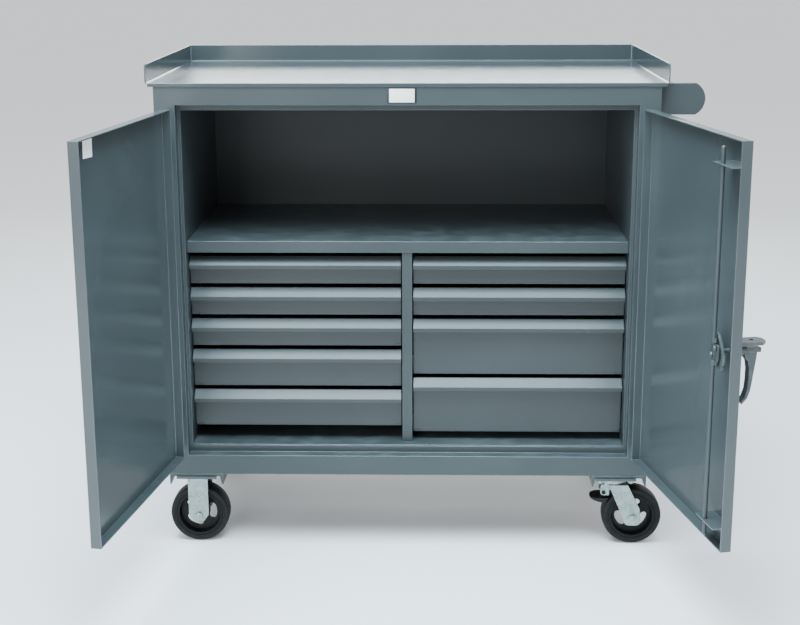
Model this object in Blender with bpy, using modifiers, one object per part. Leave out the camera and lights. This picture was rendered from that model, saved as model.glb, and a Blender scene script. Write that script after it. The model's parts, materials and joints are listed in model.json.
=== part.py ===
# A wheeled steel tool cabinet: a tray top, two doors over a shelf and nine drawers, and four casters.

import math

import bmesh
import bpy
from mathutils import Matrix, Vector

# Sheet metal, clearances and how far cutters overrun, in metres
SHEET = 0.0027
DRAWER_SHEET = 0.0015
SEAT_GAP = 0.0003
JOIN_OVERLAP = 0.0006
OVERRUN = 0.02
WELD_DISTANCE = 0.00002

# Casters: the wheel stands on the floor, and what lies above it is stacked on its radius
WHEEL_RADIUS = 0.0762
WHEEL_WIDTH = 0.0508
WHEEL_CLEARANCE = 0.008
AXLE_INSET = 0.052
KINGPIN_OFFSET = 0.008
TRAIL = 0.0472
FORK_INNER = 0.0337
FORK_SHEET = 0.0048
FORK_LEG = 0.051
RIGID_LEG_TIP = 0.027
RIGID_LEG_CUT = 0.0165
LEG_BELOW_AXLE = 0.0145
SWIVEL_LEG = 0.049
SWIVEL_LEG_SHIFT = 0.009
SWIVEL_LEG_END = 0.043
SWIVEL_LEG_DROP = 0.0202
SWIVEL_LEG_CORNER = 0.0125
SWIVEL_KNEE = 0.0174
SWIVEL_KNEE_RISE = 0.026
FORK_HOLE = 0.0064
AXLE_RADIUS = 0.006
AXLE_HEAD_RADIUS = 0.0105
AXLE_HEAD_HEIGHT = 0.0062
PLATE_LENGTH = 0.1016
PLATE_WIDTH = 0.1143
PLATE_SHEET = 0.006
RACE_RADIUS = 0.035
RACE_HEIGHT = 0.0115
RACE_GAP = 0.0008
CROWN_HEIGHT = 0.0115
CROWN_SHEET = 0.0055
KINGPIN_RADIUS = 0.006
KINGPIN_HOLE = 0.0065
KINGPIN_HEAD = 0.0115
KINGPIN_HEAD_HEIGHT = 0.0045
CORE_BORE = 0.0064
CORE_HUB = 0.018
CORE_HUB_LENGTH = 0.062
CORE_WEB = 0.012
CORE_DRAFT = 0.003
CORE_RIM_DEPTH = 0.0065
CORE_WIDTH = 0.047
WINDOW_STEP = 0.006
WINDOW_MARGIN = 0.011
WINDOW_COUNT = 3
TYRE_DEPTH = 0.0162
TYRE_SHARES = ((0, 0.937), (0.64, 1), (0.91, 0.874), (1, 0.65))

# Brake: a pedal on a pin between two ears under the fork's crown
EAR_FRONT = 0.035
EAR_BACK = 0.0125
EAR_DROP = 0.0285
EAR_CORNER = 0.008
EAR_SHEET = 0.003
EAR_INNER = 0.0185
PEDAL_PIVOT_X = 0.0265
PEDAL_PIVOT_DROP = 0.0205
PEDAL_DROP = 0.034
PEDAL_REACH = 0.0613
PEDAL_BOW = 0.022
PEDAL_WIDTH = 0.057
PEDAL_TIP = 0.005
PEDAL_DEPTH = 0.0112
PEDAL_WEDGE = 0.034
PEDAL_SIDE_GAP = 0.0006
SHOE_GAP = 0.0042
HUB_HALF = 0.0055
HUB_ROUND = 0.0068
PEDAL_PIN = 0.0036
PEDAL_PIN_HOLE = 0.0041
PEDAL_PIN_HEAD = 0.0055
PEDAL_PIN_HEAD_HEIGHT = 0.003

# Channels that carry the casters
CHANNEL_WIDTH = 0.137
CHANNEL_HEIGHT = 0.0287
CHANNEL_WEB = 0.0062
CHANNEL_ROOT = 0.0085
CHANNEL_TIP = 0.0032

# Body, and its front frame with the doors' set-back stops
BODY_WIDTH = 1.2192
BODY_DEPTH = 0.6096
BODY_HEIGHT = 0.995
FRAME_WIDTH = 0.0508
JAMB_DEPTH = 0.0285
TOP_STOP = 0.015
SIDE_STOP = 0.0078
FLOOR_STEP = 0.0202
BACK_SPACE = 0.0426

# Tray on top of the body
TRAY_OVERHANG = 0.0186
TRAY_FRONT = 0.003
TRAY_REAR = 0.0354
TRAY_LIP = 0.048
TRAY_BEND = 0.006
TRAY_CORNER = 0.009
TRAY_FOLD = 0.006

# Doors, and hinges whose pins stand in front of the stiles
HINGE_ASIDE = 0.0282
HINGE_OUT = 0.0065
DOOR_GAP_HINGE = 0.003
DOOR_GAP_CENTRE = 0.0015
DOOR_GAP_TOP = 0.005
DOOR_GAP_BOTTOM = 0.008
DOOR_THICKNESS = 0.0245
DOOR_EDGE = 0.0022
HINGE_HEIGHT = 0.076
HINGE_INSET = 0.11
KNUCKLE_RADIUS = 0.0055
KNUCKLE_HEIGHT = 0.036
KNUCKLE_GAP = 0.0005
HINGE_BORE = 0.0033
HINGE_PIN = 0.003
HINGE_PIN_HEAD = 0.0048
HINGE_PIN_HEAD_HEIGHT = 0.0025
STRAP_SHEET = 0.0025
STRAP_LENGTH = 0.082
STRAP_GAP = 0.0008
LEAF_EDGE = 0.002
LEAF_GAP = 0.001

# Drawers, the rack that carries them, and the shelf above
SHELF_SETBACK = 0.0208
SHELF_LIP = 0.029
DIVIDER_WIDTH = 0.0254
DIVIDER_SETBACK = 0.0013
DRAWER_SMALL = 0.0715
DRAWER_MEDIUM = 0.0975
DRAWER_LARGE = 0.146
DRAWER_GAP = 0.01
DRAWER_FLOOR_GAP = 0.0215
DRAWER_TOP_GAP = 0.0125
DRAWER_SIDE_GAP = 0.0027
DRAWER_BACK_GAP = 0.027
PULL_DEPTH = 0.02
PULL_DROP = 0.0206
PULL_NOSE = 0.01
NOTCH_WIDTH = 0.019
NOTCH_HEIGHT = 0.005
BOX_SIDE_GAP = 0.0135
BOX_RAISE = 0.007
BOX_TOP_DROP = 0.012
RUNNER_REACH = 0.0105
RUNNER_CENTRE = 0.031
RUNNER_SETBACK = 0.008
RACK_HEIGHT = 0.028
RACK_DEPTH = 0.0125
RACK_FRONT_GAP = 0.003
RACK_BACK_GAP = 0.011

# Latch on the right door: places are measured from the spindle and the door's outer face
ROD_X = 0.061
ROD_STOP_GAP = 0.00105
ROD_RADIUS = 0.00475
ROD_HOLE = 0.0053
ROD_TOP_GAP = 0.0062
ROD_FLOOR_GAP = 0.0045
ROD_TAPER = 0.003
KEEPER_HOLE = 0.006
SPINDLE_RISE = 0.4302
SPINDLE_RADIUS = 0.005
SPINDLE_HOLE = 0.0054
HUB_RADIUS = 0.0115
HUB_REACH = 0.033
LUG_REACH = 0.067
LUG_STEP = 0.0005
LUG_THICKNESS = 0.008
LEVER_STEP = 0.001
LEVER_EDGE = 0.003
LEVER_REACH = 0.058
LEVER_DROP = 0.119
LEVER_SHARES = (
    (0.983, -0.02),
    (1, 0.03),
    (0.974, 0.15),
    (0.922, 0.336),
    (0.853, 0.588),
    (0.8, 0.756),
    (0.69, 0.899),
    (0.5, 1),
    (0.424, 0.95),
    (0.56, 0.857),
    (0.645, 0.735),
    (0.678, 0.56),
    (0.676, 0.34),
    (0.62, 0.2),
    (0.5, 0.12),
    (0.42, -0.02),
)
HASP_GAP = 0.0015
HASP_THICKNESS = 0.008
HASP_REACH = 0.074
HASP_WIDTH = 0.04
HASP_CHAMFER = 0.01
PADLOCK_REACH = 0.046
PADLOCK_HOLE = 0.0055
ESCUTCHEON_SHEET = 0.003
ESCUTCHEON_WIDTH = 0.044
ESCUTCHEON_BELOW = 0.03
ESCUTCHEON_ABOVE = 0.036
CAM_LENGTH = 0.085
CAM_WIDTH = 0.045
CAM_THICKNESS = 0.005
CAM_BORE = 0.0053
CAM_NUT_RADIUS = 0.0095
CAM_NUT_HEIGHT = 0.003
CAM_NUT_GAP = 0.001
CRANK_RADIUS = 0.0125
CRANK_PIN = 0.0038
CRANK_HEAD = 0.0062
CRANK_HEAD_HEIGHT = 0.0025
YOKE_OFFSET = 0.0025
YOKE_THICKNESS = 0.004
YOKE_INNER = 0.0012
YOKE_OUTER = 0.021
YOKE_END = 0.008
YOKE_REACH = 0.038
YOKE_SHOULDER = 0.028
YOKE_NECK = 0.007
SLOT_GAP = 0.0009
GUIDE_INSET = 0.0525
GUIDE_THICKNESS = 0.003
GUIDE_DEPTH = 0.0445
GUIDE_WIDTH = 0.034

# Push handle on the right side
BRACKET_REACH = 0.11
BRACKET_HEIGHT = 0.076
BRACKET_DROP = 0.001
BRACKET_ARC = 0.043
BRACKET_THICKNESS = 0.0048
BRACKET_INSET = 0.03
GRIP_RADIUS = 0.0127
GRIP_REACH = 0.074

# How far each door stands open at rest, and how the lock cam and the wheels have turned
LEFT_OPEN = math.radians(98.76)
RIGHT_OPEN = math.radians(101.88)
CRANK_REST = math.radians(-45)
CAM_TILT = math.radians(-34)
WINDOW_SPREAD = math.radians(25)
LEFT_WHEEL_TURN = math.radians(0)
RIGHT_WHEEL_TURN = math.radians(-33)

# How finely round shapes are cut
WHEEL_STEPS = 32
CORE_STEPS = 24
ROUND_STEPS = 16
SMALL_STEPS = 12
HEX_STEPS = 6
ARC_STEPS = 8
CAP_STEPS = 4
BEND_STEPS = 3
EDGE_STEPS = 2
SMOOTH_ANGLE = math.radians(35)

# Places worked out from the sizes above
CORE_RADIUS = WHEEL_RADIUS - TYRE_DEPTH
CORE_RIM = CORE_RADIUS - CORE_RIM_DEPTH
WINDOW_INNER = CORE_HUB + WINDOW_STEP
WINDOW_OUTER = CORE_RIM - WINDOW_MARGIN
CROWN_BOTTOM = 2 * WHEEL_RADIUS + WHEEL_CLEARANCE
CROWN_TOP = CROWN_BOTTOM + CROWN_HEIGHT
RACE_BOTTOM = CROWN_TOP + RACE_GAP
PLATE_BOTTOM = RACE_BOTTOM + RACE_HEIGHT
PLATE_TOP = PLATE_BOTTOM + PLATE_SHEET
CHANNEL_TOP = PLATE_TOP + SEAT_GAP + CHANNEL_WEB
CHANNEL_BOTTOM = CHANNEL_TOP - CHANNEL_HEIGHT
CASTER_X = (BODY_WIDTH - CHANNEL_WIDTH) / 2
SWIVEL_X = CASTER_X - KINGPIN_OFFSET
LEG_Y = FORK_INNER + FORK_SHEET / 2
BODY_BOTTOM = CHANNEL_TOP + SEAT_GAP
BODY_TOP = BODY_BOTTOM + BODY_HEIGHT
HALF_WIDTH = BODY_WIDTH / 2
OPENING_HALF = HALF_WIDTH - FRAME_WIDTH
OPENING_BOTTOM = BODY_BOTTOM + FRAME_WIDTH
OPENING_TOP = BODY_TOP - FRAME_WIDTH
LINER_X = OPENING_HALF - SIDE_STOP
BACK_LINER_Y = BODY_DEPTH - BACK_SPACE
FLOOR_TOP = OPENING_BOTTOM + FLOOR_STEP
LEFT_DRAWERS = (DRAWER_SMALL, DRAWER_SMALL, DRAWER_SMALL, DRAWER_MEDIUM, DRAWER_MEDIUM)
RIGHT_DRAWERS = (DRAWER_SMALL, DRAWER_SMALL, DRAWER_LARGE, DRAWER_LARGE)
STACK_HEIGHT = max(sum(column) + DRAWER_GAP * (len(column) - 1) for column in (LEFT_DRAWERS, RIGHT_DRAWERS))
DRAWERS_TOP = FLOOR_TOP + DRAWER_FLOOR_GAP + STACK_HEIGHT
SHELF_TOP = DRAWERS_TOP + DRAWER_TOP_GAP + SHELF_LIP
SHELF_FRONT = JAMB_DEPTH + SHEET + SHELF_SETBACK
DIVIDER_FRONT = SHELF_FRONT + SHEET + DIVIDER_SETBACK
DRAWER_BACK = BACK_LINER_Y - DRAWER_BACK_GAP - SHELF_FRONT
RACK_FRONT = SHELF_FRONT + PULL_DEPTH + DRAWER_SHEET + RACK_FRONT_GAP
RACK_BACK = BACK_LINER_Y - RACK_BACK_GAP
RUNNER_HEIGHT = RACK_HEIGHT - 2 * DRAWER_SHEET - 2 * SEAT_GAP
COLUMN_X = (LINER_X + DIVIDER_WIDTH / 2) / 2
COLUMN_HALF = (LINER_X - DIVIDER_WIDTH / 2) / 2
HINGE_X = OPENING_HALF + HINGE_ASIDE
DOOR_NEAR = HINGE_ASIDE + DOOR_GAP_HINGE
DOOR_FAR = HINGE_X - DOOR_GAP_CENTRE
DOOR_BOTTOM = OPENING_BOTTOM + DOOR_GAP_BOTTOM
DOOR_TOP = OPENING_TOP - DOOR_GAP_TOP
HINGE_CENTRES = (DOOR_BOTTOM + HINGE_INSET, DOOR_TOP - HINGE_INSET)
GUIDE_BOTTOMS = (DOOR_BOTTOM + GUIDE_INSET, DOOR_TOP - GUIDE_INSET - GUIDE_THICKNESS)
ROD_Y = JAMB_DEPTH + SHEET + ROD_STOP_GAP + ROD_RADIUS
YOKE_Y = ROD_Y - YOKE_OFFSET
CAM_FRONT = YOKE_Y - YOKE_THICKNESS / 2 - CAM_NUT_GAP - CAM_NUT_HEIGHT
SPINDLE_Z = DOOR_BOTTOM + SPINDLE_RISE
UPPER_TIP = OPENING_TOP - TOP_STOP - ROD_TOP_GAP
LOWER_TIP = FLOOR_TOP + ROD_FLOOR_GAP
LUG_HALF = HUB_RADIUS - LUG_STEP
HASP_RISE = HUB_RADIUS + HASP_GAP
LATCH_ALONG = HINGE_X - ROD_X
HASP_ALONG = LATCH_ALONG + HASP_WIDTH / 2 - HASP_CHAMFER
BRACKET_TOP = BODY_TOP - BRACKET_DROP
PEDAL_PIVOT_Z = CROWN_BOTTOM - PEDAL_PIVOT_DROP
PEDAL_TOP = CROWN_BOTTOM - PEDAL_DROP

# How far the cart reaches at rest, from the middle of the body's front face
TRAY_BACK = BODY_DEPTH + TRAY_REAR
REACH_LEFT = HINGE_X - DOOR_FAR * math.cos(LEFT_OPEN) - HINGE_OUT * math.sin(LEFT_OPEN)
REACH_RIGHT = HINGE_X - HASP_ALONG * math.cos(RIGHT_OPEN) + (HASP_REACH - HINGE_OUT) * math.sin(RIGHT_OPEN)
REACH_FRONT = (
    HINGE_OUT + DOOR_FAR * math.sin(LEFT_OPEN) - (HINGE_OUT + DOOR_THICKNESS) * math.cos(LEFT_OPEN)
)
CENTRE_X = (REACH_RIGHT - REACH_LEFT) / 2
CENTRE_Y = (TRAY_BACK - REACH_FRONT) / 2

# Colour, metallic share and roughness share of each material
MATERIALS = {
    "paint": ((0.121, 0.162, 0.188), 0.0, 0.38),
    "zinc": ((0.53, 0.56, 0.55), 0.9, 0.38),
    "lock_steel": ((0.42, 0.44, 0.45), 0.9, 0.42),
    "tyre": ((0.026, 0.028, 0.03), 0.0, 0.72),
    "wheel_core": ((0.05, 0.055, 0.06), 0.3, 0.6),
    "black_plastic": ((0.012, 0.012, 0.013), 0.0, 0.5),
}

# The sides of a box: an edge is named by the two sides that meet there
LEFT = "-x"
RIGHT = "+x"
FRONT = "-y"
BACK = "+y"
BOTTOM = "-z"
TOP = "+z"


def cleared_collection(name):
    """A new collection in the scene."""
    collection = bpy.data.collections.new(name)
    bpy.context.scene.collection.children.link(collection)
    return collection


def make_materials():
    made = {}
    for name, (colour, metallic, roughness) in MATERIALS.items():
        made[name] = bpy.data.materials.new(name)
        made[name].use_nodes = True
        shader = made[name].node_tree.nodes["Principled BSDF"]
        shader.inputs["Base Color"].default_value = (*colour, 1)
        shader.inputs["Metallic"].default_value = metallic
        shader.inputs["Roughness"].default_value = roughness
    return made


def frame_empty(name, place, parent=None, turn=0):
    """An empty that carries pieces, turned about the upright axis."""
    carrier = bpy.data.objects.new(name, None)
    carrier.location = place
    carrier.rotation_euler = (0, 0, turn)
    carrier.parent = parent
    PARTS.objects.link(carrier)
    return carrier


def mesh_object(name, shape):
    """An object holding the bmesh, with its round faces smooth."""
    mesh = bpy.data.meshes.new(name)
    shape.to_mesh(mesh)
    shape.free()
    mesh.shade_smooth()
    mesh.set_sharp_from_angle(angle=SMOOTH_ANGLE)
    return bpy.data.objects.new(name, mesh)


def piece(shape, material, parent, place=(0, 0, 0)):
    """Makes the object a visible piece of the cabinet."""
    PARTS.objects.link(shape)
    shape.parent = parent
    shape.location = place
    shape.data.materials.append(MATERIAL[material])
    return shape


def combine(target, tool, operation, overlapping=False):
    """Joins or cuts the target with a tool in its frame, whose own bodies may overlap."""
    CUTTERS.objects.link(tool)
    tool.parent = target.parent
    tool.location = target.location
    tool.rotation_euler = target.rotation_euler
    tool.hide_render = True
    tool.display_type = "WIRE"
    change = target.modifiers.new(tool.name, "BOOLEAN")
    change.operation = operation
    change.solver = "EXACT"
    change.use_self = overlapping
    change.object = tool


def bevel_edges(shape, edges, radius, steps):
    bmesh.ops.bevel(
        shape,
        geom=edges,
        offset=radius,
        offset_type="OFFSET",
        segments=steps,
        profile=0.5,
        affect="EDGES",
        material=-1,
    )


def on_side(place, side):
    """Whether a place on a cube about the origin lies on the named side."""
    sign, axis = side
    along = getattr(place, axis)
    return along < 0 if sign == "-" else along > 0


def add_box(shape, low, high, rounding=(), steps=BEND_STEPS):
    """A box between two corners; each group of its edges is rounded by that group's radius."""
    cube = bmesh.ops.create_cube(shape, size=2)["verts"]
    edges = {edge for corner in cube for edge in corner.link_edges}
    groups = []
    for pairs, radius in rounding:
        chosen = []
        for edge in edges:
            middle = (edge.verts[0].co + edge.verts[1].co) / 2
            if any(all(on_side(middle, side) for side in pair) for pair in pairs):
                chosen.append(edge)
        groups.append((chosen, radius))
    low, high = Vector(low), Vector(high)
    size = Matrix.Diagonal((*((high - low) / 2), 1))
    bmesh.ops.transform(shape, matrix=Matrix.Translation((low + high) / 2) @ size, verts=cube)
    for chosen, radius in groups:
        bevel_edges(shape, chosen, radius, steps)


def boxes(name, corners):
    """An object of plain boxes, one for each pair of corners."""
    shape = bmesh.new()
    for low, high in corners:
        add_box(shape, low, high)
    return mesh_object(name, shape)


def rounded_box(name, low, high, rounding, steps=BEND_STEPS):
    shape = bmesh.new()
    add_box(shape, low, high, rounding, steps)
    return mesh_object(name, shape)


def add_cylinder(shape, start, end, radius, steps):
    start, end = Vector(start), Vector(end)
    turn = (end - start).to_track_quat("Z", "Y").to_matrix().to_4x4()
    bmesh.ops.create_cone(
        shape,
        cap_ends=True,
        segments=steps,
        radius1=radius,
        radius2=radius,
        depth=(end - start).length,
        matrix=Matrix.Translation((start + end) / 2) @ turn,
    )


def cylinders(name, rounds):
    """An object of plain cylinders: start, end, radius and steps of each."""
    shape = bmesh.new()
    for start, end, radius, steps in rounds:
        add_cylinder(shape, start, end, radius, steps)
    return mesh_object(name, shape)


def turned(name, profile, steps):
    """A closed profile of radius and place along Y, turned about the Y axis."""
    shape = bmesh.new()
    points = [shape.verts.new((radius, along, 0)) for radius, along in profile]
    for first, second in zip(points, points[1:] + points[:1]):
        shape.edges.new((first, second))
    solid = mesh_object(name, shape)
    screw = solid.modifiers.new("turned", "SCREW")
    screw.axis = "Y"
    screw.steps = steps
    screw.render_steps = steps
    screw.use_merge_vertices = True
    screw.merge_threshold = WELD_DISTANCE
    screw.use_smooth_shade = True
    return solid


def plate(name, outline, thickness, across, at=0, rim=0):
    """A flat plate: its outline lies across the X, Y or Z axis, and its middle is at that place along it."""
    curve = bpy.data.curves.new(name, "CURVE")
    curve.dimensions = "2D"
    curve.fill_mode = "BOTH"
    curve.extrude = thickness / 2
    spline = curve.splines.new("POLY")
    spline.points.add(len(outline) - 1)
    for point, (first, second) in zip(spline.points, outline):
        point.co = (first, second, 0, 1)
    spline.use_cyclic_u = True
    source = bpy.data.objects.new(name, curve)
    mesh = bpy.data.meshes.new_from_object(source)
    bpy.data.objects.remove(source)
    turns = {
        "X": Matrix(((0, 0, 1, at), (1, 0, 0, 0), (0, 1, 0, 0), (0, 0, 0, 1))),
        "Y": Matrix(((1, 0, 0, 0), (0, 0, -1, at), (0, 1, 0, 0), (0, 0, 0, 1))),
        "Z": Matrix.Translation((0, 0, at)),
    }
    shape = bmesh.new()
    shape.from_mesh(mesh)
    bpy.data.meshes.remove(mesh)
    bmesh.ops.remove_doubles(shape, verts=shape.verts, dist=WELD_DISTANCE)
    if rim:
        rims = [edge for edge in shape.edges if abs(edge.calc_face_angle(0) - math.pi / 2) < SMOOTH_ANGLE]
        rims = [edge for edge in rims if edge.verts[0].co.z * edge.verts[1].co.z > 0]
        bevel_edges(shape, rims, rim, EDGE_STEPS)
    bmesh.ops.transform(shape, matrix=turns[across], verts=shape.verts)
    return mesh_object(name, shape)


def arc(centre_x, centre_y, radius, start, end, steps):
    """Points of an arc between two angles in degrees."""
    turns = [math.radians(start + (end - start) * step / steps) for step in range(steps + 1)]
    return [(centre_x + radius * math.cos(turn), centre_y + radius * math.sin(turn)) for turn in turns]


def drawer_bottoms(heights):
    """Height above the floor of each drawer's bottom edge, from the top drawer down."""
    bottoms = []
    top = DRAWERS_TOP
    for height in heights:
        bottoms.append(top - height)
        top -= height + DRAWER_GAP
    return bottoms


def rack_boxes(heights, wall_x, inward):
    """The slotted racks that the runners ride in, on a wall whose face is at wall_x."""
    corners = []
    for bottom in drawer_bottoms(heights):
        middle = bottom + RUNNER_CENTRE
        near = wall_x - inward * JOIN_OVERLAP
        web = wall_x + inward * DRAWER_SHEET
        tip = wall_x + inward * RACK_DEPTH
        low, high = middle - RACK_HEIGHT / 2, middle + RACK_HEIGHT / 2
        for side_x, bottom_z, top_z in (
            (web, low, high),
            (tip, low, low + DRAWER_SHEET),
            (tip, high - DRAWER_SHEET, high),
        ):
            across = sorted((near, side_x))
            corners.append(((across[0], RACK_FRONT, bottom_z), (across[1], RACK_BACK, top_z)))
    return corners


def make_tray(root):
    half = HALF_WIDTH + TRAY_OVERHANG
    top = BODY_TOP + TRAY_LIP
    folds = ((LEFT, BOTTOM), (RIGHT, BOTTOM), (BACK, BOTTOM), (LEFT, BACK), (RIGHT, BACK))
    outer = rounded_box(
        "worktop_tray",
        (-half, -TRAY_FRONT, BODY_TOP),
        (half, TRAY_BACK, top),
        ((folds, TRAY_BEND), (((FRONT, TOP),), TRAY_CORNER)),
    )
    hollow = rounded_box(
        "tray_hollow",
        (SHEET - half, -TRAY_FRONT - OVERRUN, BODY_TOP + SHEET),
        (half - SHEET, TRAY_BACK - SHEET, top + OVERRUN),
        ((folds, TRAY_BEND - SHEET),),
    )
    fold = boxes(
        "tray_fold",
        (
            (
                (TRAY_BEND - half, -TRAY_FRONT, BODY_TOP - TRAY_FOLD),
                (half - TRAY_BEND, -SEAT_GAP, BODY_TOP + SHEET / 2),
            ),
        ),
    )
    tray = piece(outer, "paint", root)
    combine(tray, hollow, "DIFFERENCE")
    combine(tray, fold, "UNION")


def make_front_frame(root):
    """The face of the body, with the doors' set-back stops and the hinge leaves on its stiles."""
    top = BODY_TOP - SEAT_GAP
    frame = boxes("front_frame", (((-HALF_WIDTH, 0, BODY_BOTTOM), (HALF_WIDTH, SHEET, top)),))
    piece(frame, "paint", root)
    back = JAMB_DEPTH + SHEET
    riser = FLOOR_TOP - SHEET - SEAT_GAP
    jamb = boxes(
        "frame_jamb",
        (
            (
                (-OPENING_HALF - SHEET, SHEET / 2, OPENING_BOTTOM - SHEET),
                (OPENING_HALF + SHEET, back, OPENING_TOP + SHEET),
            ),
        ),
    )
    opening = boxes(
        "frame_opening",
        (
            ((-OPENING_HALF, -OVERRUN, OPENING_BOTTOM), (OPENING_HALF, JAMB_DEPTH, OPENING_TOP)),
            ((-LINER_X, -OVERRUN, riser), (LINER_X, back + OVERRUN, OPENING_TOP - TOP_STOP)),
        ),
    )
    leaves = bmesh.new()
    bores = bmesh.new()
    for side in (-1, 1):
        outside = side * (HALF_WIDTH - LEAF_EDGE)
        inside = side * (HINGE_X + KNUCKLE_RADIUS + LEAF_GAP)
        for middle in HINGE_CENTRES:
            low, high = middle - HINGE_HEIGHT / 2, middle + HINGE_HEIGHT / 2
            across = sorted((outside, inside))
            add_box(leaves, (across[0], -STRAP_SHEET, low), (across[1], SHEET / 2, high))
            for start, end in (
                (low, middle - KNUCKLE_HEIGHT / 2 - KNUCKLE_GAP),
                (middle + KNUCKLE_HEIGHT / 2 + KNUCKLE_GAP, high),
            ):
                tab = sorted((inside + side * JOIN_OVERLAP, side * HINGE_X))
                add_box(leaves, (tab[0], -STRAP_SHEET, start), (tab[1], -STRAP_GAP, end))
                add_cylinder(
                    leaves,
                    (side * HINGE_X, -HINGE_OUT, start),
                    (side * HINGE_X, -HINGE_OUT, end),
                    KNUCKLE_RADIUS,
                    SMALL_STEPS,
                )
            add_cylinder(
                bores,
                (side * HINGE_X, -HINGE_OUT, low - OVERRUN),
                (side * HINGE_X, -HINGE_OUT, high + OVERRUN),
                HINGE_BORE,
                SMALL_STEPS,
            )
    combine(frame, jamb, "UNION")
    combine(frame, opening, "DIFFERENCE", overlapping=True)
    combine(frame, mesh_object("frame_leaves", leaves), "UNION", overlapping=True)
    combine(frame, mesh_object("frame_bores", bores), "DIFFERENCE")
    for side, word in ((-1, "left"), (1, "right")):
        for number, middle in enumerate(HINGE_CENTRES, 1):
            half = HINGE_HEIGHT / 2
            pin = cylinders(
                f"{word}_hinge_pin_{number}",
                (((0, 0, -half), (0, 0, half + HINGE_PIN_HEAD_HEIGHT / 2), HINGE_PIN, SMALL_STEPS),),
            )
            piece(pin, "lock_steel", root, (side * HINGE_X, -HINGE_OUT, middle))
            head = cylinders(
                f"{word}_hinge_pin_head_{number}",
                (
                    (
                        (0, 0, half + SEAT_GAP),
                        (0, 0, half + SEAT_GAP + HINGE_PIN_HEAD_HEIGHT),
                        HINGE_PIN_HEAD,
                        SMALL_STEPS,
                    ),
                ),
            )
            combine(pin, head, "UNION")


def make_body(root):
    """Outer skins, inner liners, floor, shelf and divider."""
    behind = SHEET + SEAT_GAP
    skin_back = BODY_DEPTH - SHEET - SEAT_GAP
    top = BODY_TOP - SEAT_GAP
    floor_bottom = FLOOR_TOP - SHEET
    for side, word in ((-1, "left"), (1, "right")):
        across = sorted((side * HALF_WIDTH, side * (HALF_WIDTH - SHEET)))
        skin = boxes(f"{word}_side", (((across[0], behind, BODY_BOTTOM), (across[1], skin_back, top)),))
        piece(skin, "paint", root)
        heights = LEFT_DRAWERS if side < 0 else RIGHT_DRAWERS
        across = sorted((side * LINER_X, side * (LINER_X + SHEET)))
        front = JAMB_DEPTH + SHEET + SEAT_GAP
        liner = boxes(
            f"{word}_liner",
            (((across[0], front, floor_bottom), (across[1], BACK_LINER_Y - SEAT_GAP, top)),),
        )
        piece(liner, "paint", root)
        racks = boxes(f"{word}_racks", rack_boxes(heights, side * LINER_X, -side))
        combine(liner, racks, "UNION", overlapping=True)
    inside = HALF_WIDTH - SHEET - SEAT_GAP
    back = boxes(
        "back_panel",
        (((-HALF_WIDTH, BODY_DEPTH - SHEET, BODY_BOTTOM), (HALF_WIDTH, BODY_DEPTH, top)),),
    )
    piece(back, "paint", root)
    wall = boxes(
        "back_liner",
        (
            (
                (-LINER_X - SHEET, BACK_LINER_Y, floor_bottom),
                (LINER_X + SHEET, BACK_LINER_Y + SHEET, top),
            ),
        ),
    )
    piece(wall, "paint", root)
    base = boxes(
        "base_pan",
        (((-inside, behind, BODY_BOTTOM), (inside, skin_back, BODY_BOTTOM + SHEET)),),
    )
    piece(base, "paint", root)
    half = LINER_X - SEAT_GAP
    wall_front = BACK_LINER_Y - SEAT_GAP
    floor = boxes("floor_panel", (((-half, JAMB_DEPTH, floor_bottom), (half, wall_front, FLOOR_TOP)),))
    piece(floor, "paint", root)
    keeper = cylinders(
        "keeper_hole",
        (
            (
                (ROD_X, ROD_Y, floor_bottom - OVERRUN),
                (ROD_X, ROD_Y, FLOOR_TOP + OVERRUN),
                KEEPER_HOLE,
                SMALL_STEPS,
            ),
        ),
    )
    combine(floor, keeper, "DIFFERENCE")
    shelf = boxes("shelf", (((-half, SHELF_FRONT, SHELF_TOP - SHELF_LIP), (half, wall_front, SHELF_TOP)),))
    piece(shelf, "paint", root)
    under = boxes(
        "shelf_under",
        (
            (
                (-half - OVERRUN, SHELF_FRONT + SHEET, SHELF_TOP - SHELF_LIP - OVERRUN),
                (half + OVERRUN, wall_front + OVERRUN, SHELF_TOP - SHEET),
            ),
        ),
    )
    combine(shelf, under, "DIFFERENCE")
    make_divider(root, wall_front)


def make_divider(root, wall_front):
    """The hollow upright between the drawer columns."""
    half = DIVIDER_WIDTH / 2
    low = FLOOR_TOP + SEAT_GAP
    high = SHELF_TOP - SHEET - SEAT_GAP
    divider = boxes("centre_divider", (((-half, DIVIDER_FRONT, low), (half, wall_front, high)),))
    piece(divider, "paint", root)
    hollow = boxes(
        "divider_hollow",
        (
            (
                (DRAWER_SHEET - half, DIVIDER_FRONT + DRAWER_SHEET, low + DRAWER_SHEET),
                (half - DRAWER_SHEET, wall_front + OVERRUN, high - DRAWER_SHEET),
            ),
        ),
    )
    combine(divider, hollow, "DIFFERENCE")
    for heights, side, word in ((LEFT_DRAWERS, -1, "left"), (RIGHT_DRAWERS, 1, "right")):
        racks = boxes(f"divider_racks_{word}", rack_boxes(heights, side * half, side))
        combine(divider, racks, "UNION", overlapping=True)


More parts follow.
